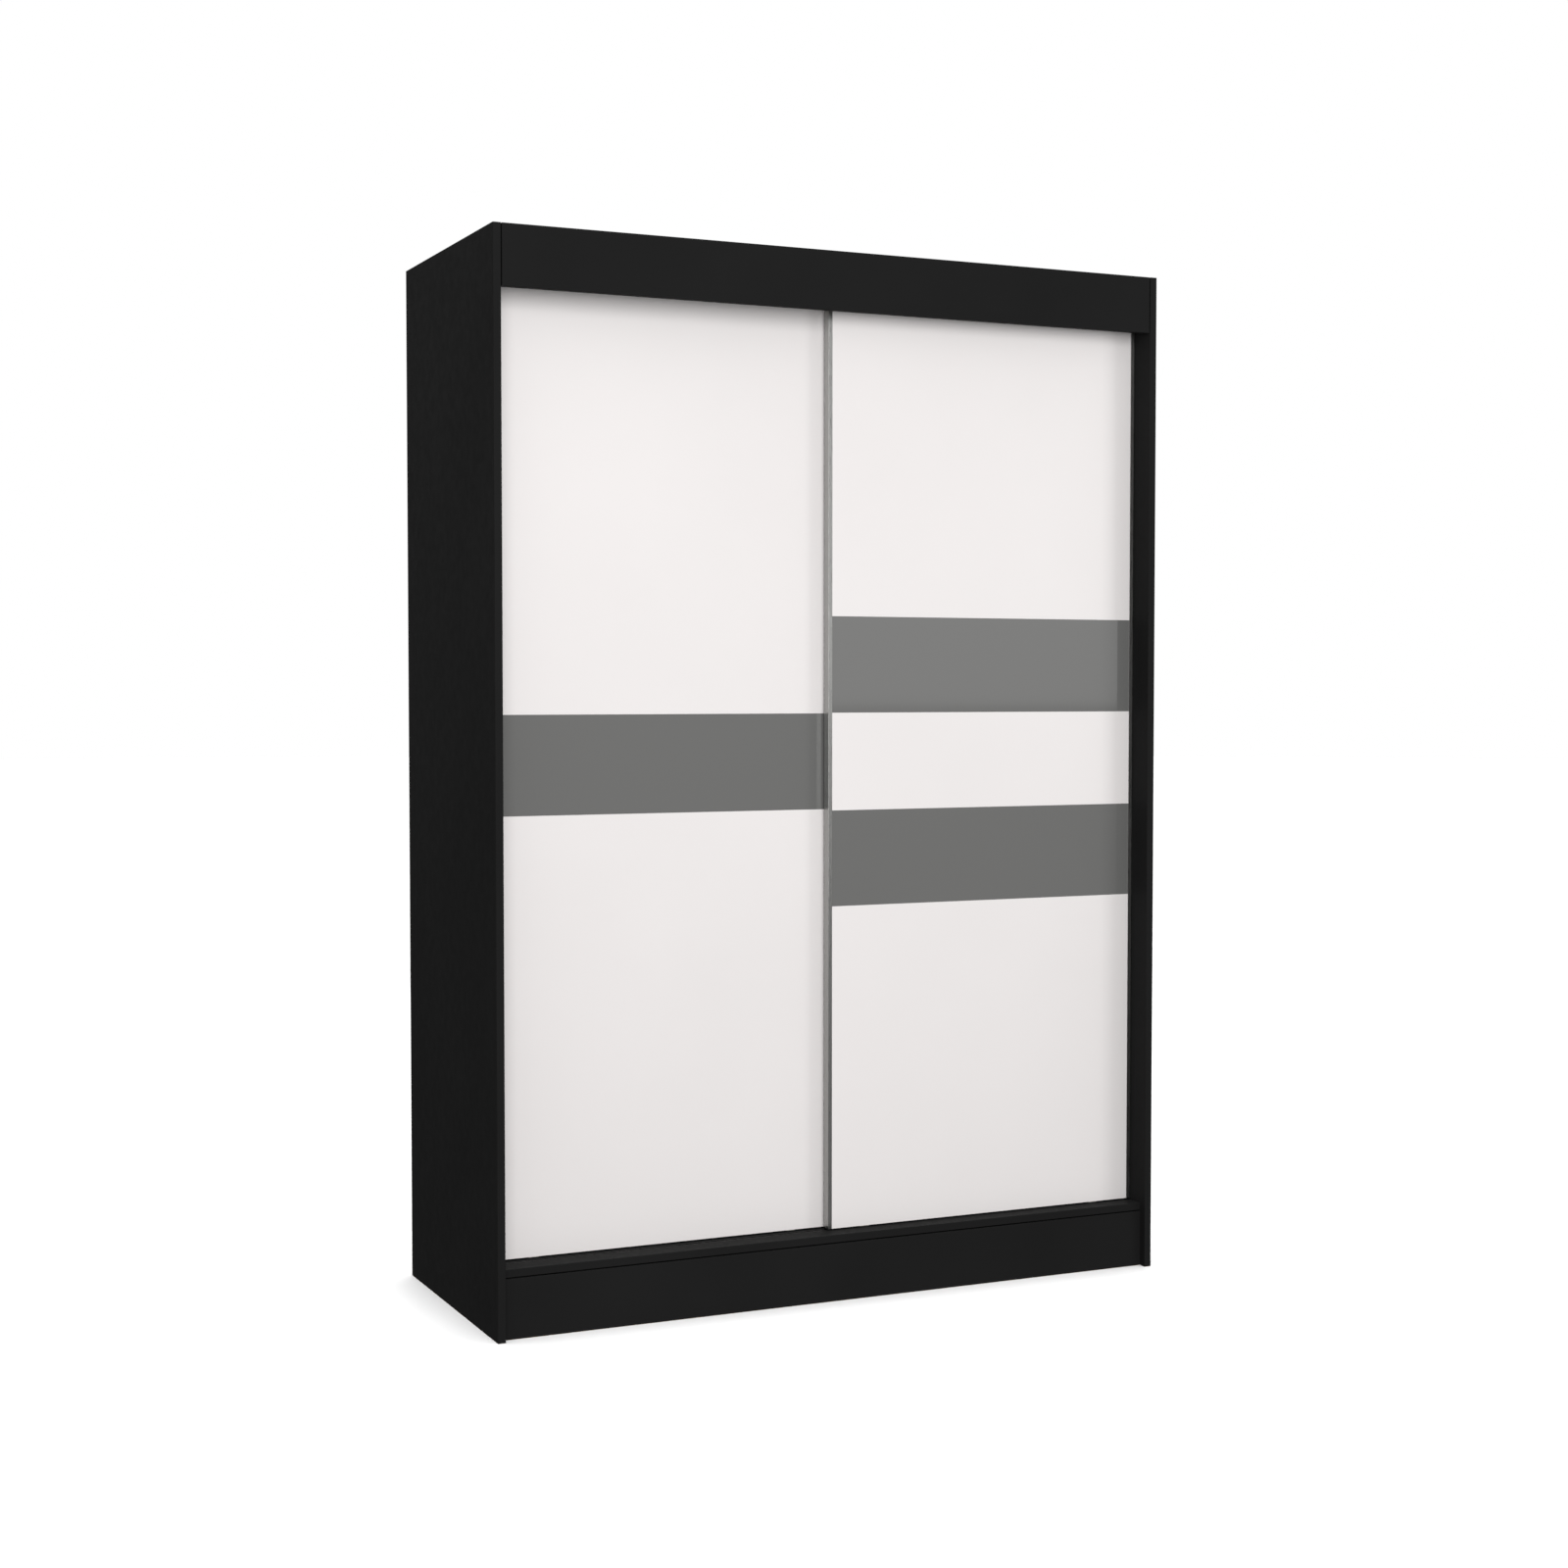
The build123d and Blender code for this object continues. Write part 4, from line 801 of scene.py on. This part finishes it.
def fastener_places(node: str, reach: float) -> tuple[list[Vector], list[Vector]]:
    """Read where the fasteners of a node are, and which way they point.

    Args:
        node: the frame's node, one loose solid for each fastener.
        reach: how far a fastener's point is from its own origin.

    Returns:
        The origin of each fastener, and the direction out of its head.
    """
    shape = bmesh.new()
    shape.from_mesh(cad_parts[node].data)
    bmesh.ops.remove_doubles(shape, verts=shape.verts, dist=WELD)
    found: set[bmesh.types.BMVert] = set()
    origins: list[Vector] = []
    aims: list[Vector] = []
    for first in shape.verts:                   # the mesh's own order, the same each run
        if first in found:
            continue
        found.add(first)
        island = [first]
        for vertex in island:                   # the list grows while it is walked
            for edge in vertex.link_edges:
                neighbour = edge.other_vert(vertex)
                if neighbour not in found:
                    found.add(neighbour)
                    island.append(neighbour)
        corners = [vertex.co for vertex in island]
        middle = sum(corners, Vector()) / len(corners)
        tip = max(corners, key=lambda corner: (corner - middle).length)
        longest = max(range(3), key=lambda axis: abs((middle - tip)[axis]))
        aim = Vector()
        aim[longest] = math.copysign(1.0, (middle - tip)[longest])
        origins.append(tip + aim * reach)
        aims.append(aim)
    shape.free()
    return origins, aims


# ------------------------------------------------------------------ sub-assemblies


@dataclass
class SubAssembly:
    """Pieces of the wardrobe that are built and dressed together on one body."""

    body: str

    def finishes(self) -> dict[str, Finish]:
        """Say which finish each of the frame's own nodes gets.

        Returns:
            The finish of each node that keeps its shape.
        """
        raise NotImplementedError

    def build(self) -> list[bpy.types.Object]:
        """Make the pieces that stand for nodes of the frame; most have none."""
        return []

    def make(self) -> None:
        """Build and dress everything, and report each piece."""
        for node, finish in self.finishes().items():
            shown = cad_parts[node]
            shown.data.materials.clear()
            shown.data.materials.append(finish.material())
            LOG.info("%s: %s in %s", type(self).__name__, node, finish.name)
        for piece in self.build():
            LOG.info("%s: %s, %d faces", type(self).__name__, piece.name, len(piece.data.polygons))

    def keep(self, piece: bpy.types.Object, node: str, slot: str) -> bpy.types.Object:
        """Let a new piece stand for a node, on this sub-assembly's body.

        Args:
            piece: the new piece.
            node: the node that it replaces.
            slot: not used.

        Returns:
            The same piece.
        """
        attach(piece, self.body)
        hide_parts(node)
        return piece

    def fasteners(self, node: str, trade: Trade, reach: float) -> bpy.types.Object:
        """Replace a node of screws or nails with finely drawn ones in the same places.

        Args:
            node: the node of fasteners.
            trade: what they are.
            reach: how far a fastener's point is from its own origin.

        Returns:
            The new piece.
        """
        tree = bpy.data.node_groups.get(trade.value)
        if tree is None:
            tree = screw_tree() if trade is Trade.SCREW else nail_tree()
        places, aims = fastener_places(node, reach)
        piece = grown(f"{node}_drawn", tree, ZINC_PLATE, places, aims, {"Length": reach})
        return self.keep(piece, node, "zinc_plated_steel")


@dataclass
class Carcass(SubAssembly):
    """Side panels, top, bottom, header board and plinths, with what joins them."""

    screw_length: float = 14 * MM
    faced: tuple[str, ...] = ("top_panel", "fascia_board", "bottom_panel")
    standing: tuple[str, ...] = ("side_panel_left", "side_panel_right", "plinth_front",
                                 "plinth_rear", "plinth_centre_support")

    def finishes(self) -> dict[str, Finish]:
        """Face the boards, and leave the edges raw that stand on the floor or face the wall."""
        sawn = CutMelamine("black_melamine_with_sawn_edges",
                           rear=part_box("side_panel_left")[1].y)
        boards: dict[str, Finish] = {node: BLACK_MELAMINE for node in self.faced}
        boards.update({node: sawn for node in self.standing})
        return {**boards, "cam_bolts": ZINC_PLATE, "cam_discs": ZINC_CASTING, "dowels": BEECH,
                "corner_blocks": BLACK_PLASTIC, "wall_brackets": ZINC_PLATE}

    def build(self) -> list[bpy.types.Object]:
        """Draw the screws of the corner blocks, brackets and sockets."""
        return [self.fasteners("carcass_screws", Trade.SCREW, self.screw_length)]


@dataclass
class Back(SubAssembly):
    """The two hardboard sheets, the strip over their seam and the nails that hold them."""

    nail_length: float = 18 * MM

    def finishes(self) -> dict[str, Finish]:
        """Lacquer the sheets inside and leave them raw behind."""
        sheet = Hardboard("hardboard_lacquered_inside", face=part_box("back_panel_left")[0].y)
        return {"back_panel_left": sheet, "back_panel_right": sheet,
                "back_seam_strip": BLACK_PLASTIC}

    def build(self) -> list[bpy.types.Object]:
        """Draw the nails."""
        return [self.fasteners("back_nails", Trade.NAIL, self.nail_length)]


@dataclass
class Interior(SubAssembly):
    """Divider, shelves and hanging rail."""

    loose_shelves: int = 4

    def finishes(self) -> dict[str, Finish]:
        """Face the boards in black, with metal rail, sockets and shelf pins."""
        boards = ["centre_divider", "hat_shelf_left", "fixed_shelf_right"]
        boards += [f"shelf_{number}" for number in range(1, self.loose_shelves + 1)]
        return {**{node: BLACK_MELAMINE for node in boards}, "hanging_rail": CHROME,
                "rail_sockets": ZINC_CASTING, "shelf_pins": ZINC_PLATE}


@dataclass
class Guides(SubAssembly):
    """The double track under the top panel and the two rails let into the bottom panel."""

    screw_length: float = 14 * MM

    def finishes(self) -> dict[str, Finish]:
        """Give the track and rails anodised aluminium with its die lines along X."""
        return {"top_track": LEVEL_ALUMINIUM, "bottom_rail_front": BLACK_ALUMINIUM,
                "bottom_rail_rear": BLACK_ALUMINIUM, "track_stops": BLACK_PLASTIC}

    def build(self) -> list[bpy.types.Object]:
        """Draw the screws that hold the track up."""
        return [self.fasteners("track_screws", Trade.SCREW, self.screw_length)]


@dataclass
class SlidingDoor(SubAssembly):
    """One door: white board, glass bands, aluminium edges, wheels and top guides."""

    bands: tuple[str, ...] = ()
    has_brush: bool = False
    arris: float = 0.4 * MM
    arris_steps: int = 2
    arris_roundness: float = 0.5
    screw_length: float = 14 * MM
    backing_share: float = 0.2
    pile_seed: int = 7

    def finishes(self) -> dict[str, Finish]:
        """Dress the board, its edge profiles and the fittings that carry it."""
        looks: dict[str, Finish] = {
            "board": WHITE_MELAMINE,
            "profile_inner": UPRIGHT_ALUMINIUM,
            "profile_outer": UPRIGHT_ALUMINIUM,
            "wheel_housings": GREY_PLASTIC,
            "wheel_axles": ZINC_PLATE,
            "wheel_inner": WHITE_NYLON,
            "wheel_outer": WHITE_NYLON,
            "guide_brackets": ZINC_PLATE,
            "guide_roller_inner": WHITE_NYLON,
            "guide_roller_outer": WHITE_NYLON,
        }
        return {f"{self.body}_{part}": finish for part, finish in looks.items()}

    def build(self) -> list[bpy.types.Object]:
        """Draw the glass bands, the screws and the brush."""
        pieces = [self.glass_band(f"{self.body}_{band}") for band in self.bands]
        pieces.append(self.fasteners(f"{self.body}_screws", Trade.SCREW, self.screw_length))
        if self.has_brush:
            pieces.append(self.brush(f"{self.body}_brush"))
        return pieces

    def glass_band(self, node: str) -> bpy.types.Object:
        """Draw one band of glass with its polished arrises.

        Args:
            node: the band's node in the frame.

        Returns:
            The new piece.
        """
        low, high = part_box(node)
        shape = bmesh.new()
        bmesh.ops.create_cube(shape, size=1.0)
        for corner in shape.verts:
            for axis in range(3):
                corner.co[axis] = high[axis] if corner.co[axis] > 0 else low[axis]
        bmesh.ops.bevel(shape, geom=shape.edges[:], offset=self.arris,
                        segments=self.arris_steps, profile=self.arris_roundness,
                        affect="EDGES")
        bmesh.ops.recalc_face_normals(shape, faces=shape.faces)
        mesh = bpy.data.meshes.new(f"{node}_glass")
        shape.to_mesh(mesh)
        shape.free()
        mesh.materials.append(GREY_GLASS.material())
        pane = bpy.data.objects.new(f"{node}_glass", mesh)
        bpy.context.scene.collection.objects.link(pane)
        return self.keep(pane, node, "grey_back_painted_glass")

    def brush(self, node: str) -> bpy.types.Object:
        """Draw the brush that seals the gap between the doors, tuft by tuft.

        Args:
            node: the brush's node in the frame.

        Returns:
            The new piece.
        """
        low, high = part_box(node)
        size = high - low
        sizes = {"Width": size.x, "Height": size.z, "Depth": size.y,
                 "Backing": size.y * self.backing_share}
        strip = grown(f"{node}_pile", pile_tree(self.pile_seed), PILE, [Vector()], [Vector()],
                      sizes)
        for corner in strip.data.vertices:
            corner.co += Vector(((low.x + high.x) / 2, low.y, (low.z + high.z) / 2))
        return self.keep(strip, node, "brush_pile")


# ------------------------------------------------------------------ studio


@dataclass(frozen=True)
class Softbox:
    """A broad soft lamp: where it hangs, where it points, its size and its power."""

    name: str
    place: tuple[float, float, float]
    target: tuple[float, float, float]
    width: float
    height: float
    watts: float

    def build(self) -> None:
        """Hang the lamp, unseen by the camera itself."""
        light = bpy.data.lights.new(self.name, "AREA")
        light.shape = "RECTANGLE"
        light.size = self.width
        light.size_y = self.height
        light.energy = self.watts
        lamp = bpy.data.objects.new(self.name, light)
        bpy.context.scene.collection.objects.link(lamp)
        lamp.location = self.place
        aim = Vector(self.target) - Vector(self.place)
        lamp.rotation_euler = aim.to_track_quat("-Z", "Y").to_euler()
        lamp.visible_camera = False


SOFTBOXES = (
    Softbox("key_softbox", (-1.2, -4.6, 2.1), (0.0, 0.0, 1.2), 3.7, 3.0, 151.0),
    Softbox("window_panel", (3.0, -4.7, 1.45), (3.0, 0.0, 1.45), 1.8, 0.5, 2.8),
    Softbox("right_softbox", (3.4, -3.0, 1.8), (0.5, 0.0, 0.9), 1.2, 1.6, 26.0),
    Softbox("rear_softbox", (1.2, 4.6, 2.4), (0.0, 0.0, 1.2), 3.5, 2.5, 70.0),
)


@dataclass
class Studio:
    """Floor, lights, surroundings and camera."""

    eye: tuple[float, float, float] = (-2.1673, -4.7040, 1.2722)
    turn_deg: float = 24.738
    dip_deg: float = 2.299
    lens: float = 54.88
    farthest: float = 200.0
    floor_radius: float = 40.0
    floor_sides: int = 96
    overhead: float = 2.2
    overhead_spread_deg: float = 8.0
    ground_glow: float = 0.2
    sky_glow: float = 0.53
    glow_from: float = -0.1
    glow_to: float = 0.2

    def build(self) -> None:
        """Set up everything that isn't part of the wardrobe."""
        self.floor()
        self.surroundings()
        for softbox in SOFTBOXES:
            softbox.build()
        self.overhead_light()
        self.camera()
        LOG.info("Studio: floor, %d softboxes, overhead light and camera", len(SOFTBOXES))

    def floor(self) -> None:
        """Lay a round floor that catches soft shadows but throws no light back up."""
        mesh = bpy.data.meshes.new("studio_floor")
        shape = bmesh.new()
        bmesh.ops.create_circle(shape, cap_ends=True, segments=self.floor_sides,
                                radius=self.floor_radius)
        shape.to_mesh(mesh)
        shape.free()
        floor = bpy.data.objects.new("studio_floor", mesh)
        bpy.context.scene.collection.objects.link(floor)
        mesh.materials.append(StudioFloor("studio_floor_paint").material())
        floor.visible_diffuse = False
        floor.visible_glossy = False

    def surroundings(self) -> None:
        """Surround the studio with white, which lights the wardrobe dimly from below."""
        world = bpy.data.worlds.new("studio")
        bpy.context.scene.world = world
        world.use_nodes = True
        tree = world.node_tree
        tree.nodes.clear()
        away = add_node(tree, "ShaderNodeTexCoord").outputs["Generated"]
        parts = add_node(tree, "ShaderNodeSeparateXYZ", {"Vector": away})
        level = add_node(tree, "ShaderNodeMapRange",
                         {"Value": parts.outputs["Z"], "From Min": self.glow_from,
                          "From Max": self.glow_to, "To Min": self.ground_glow,
                          "To Max": self.sky_glow})
        light = add_node(tree, "ShaderNodeBackground",
                         {"Color": (1.0, 1.0, 1.0, 1.0), "Strength": level.outputs["Result"]})
        seen = add_node(tree, "ShaderNodeBackground", {"Color": (1.0, 1.0, 1.0, 1.0)})
        path = add_node(tree, "ShaderNodeLightPath")
        either = add_node(tree, "ShaderNodeMixShader",
                          {0: path.outputs["Is Camera Ray"], 1: light.outputs["Background"],
                           2: seen.outputs["Background"]})
        add_node(tree, "ShaderNodeOutputWorld", {"Surface": either.outputs["Shader"]})

    def overhead_light(self) -> None:
        """Light the floor from straight above, which leaves upright faces alone."""
        light = bpy.data.lights.new("overhead_light", "SUN")
        light.energy = self.overhead
        light.angle = math.radians(self.overhead_spread_deg)
        lamp = bpy.data.objects.new("overhead_light", light)
        bpy.context.scene.collection.objects.link(lamp)

    def camera(self) -> None:
        """Stand the camera at eye height, to the left of the wardrobe."""
        lens = bpy.data.cameras.new("camera")
        lens.lens = self.lens
        lens.clip_end = self.farthest
        camera = bpy.data.objects.new("camera", lens)
        bpy.context.scene.collection.objects.link(camera)
        turn = math.radians(self.turn_deg)
        dip = math.radians(self.dip_deg)
        camera.location = self.eye
        camera.rotation_euler = (math.pi / 2 - dip, 0.0, -turn)
        bpy.context.scene.camera = camera


def main() -> None:
    """Dress the wardrobe, set up the studio and report."""
    logging.basicConfig(level=logging.INFO, format="%(name)s: %(message)s")
    wardrobe: list[SubAssembly] = [
        Carcass("cabinet"),
        Back("cabinet"),
        Interior("cabinet"),
        Guides("cabinet"),
        SlidingDoor("door_left", bands=("stripe",)),
        SlidingDoor("door_right", bands=("stripe_lower", "stripe_upper"), has_brush=True),
    ]
    for sub_assembly in wardrobe:
        sub_assembly.make()
    Studio().build()
    bpy.context.scene.view_settings.view_transform = "Standard"


if __name__ == "__main__":
    main()
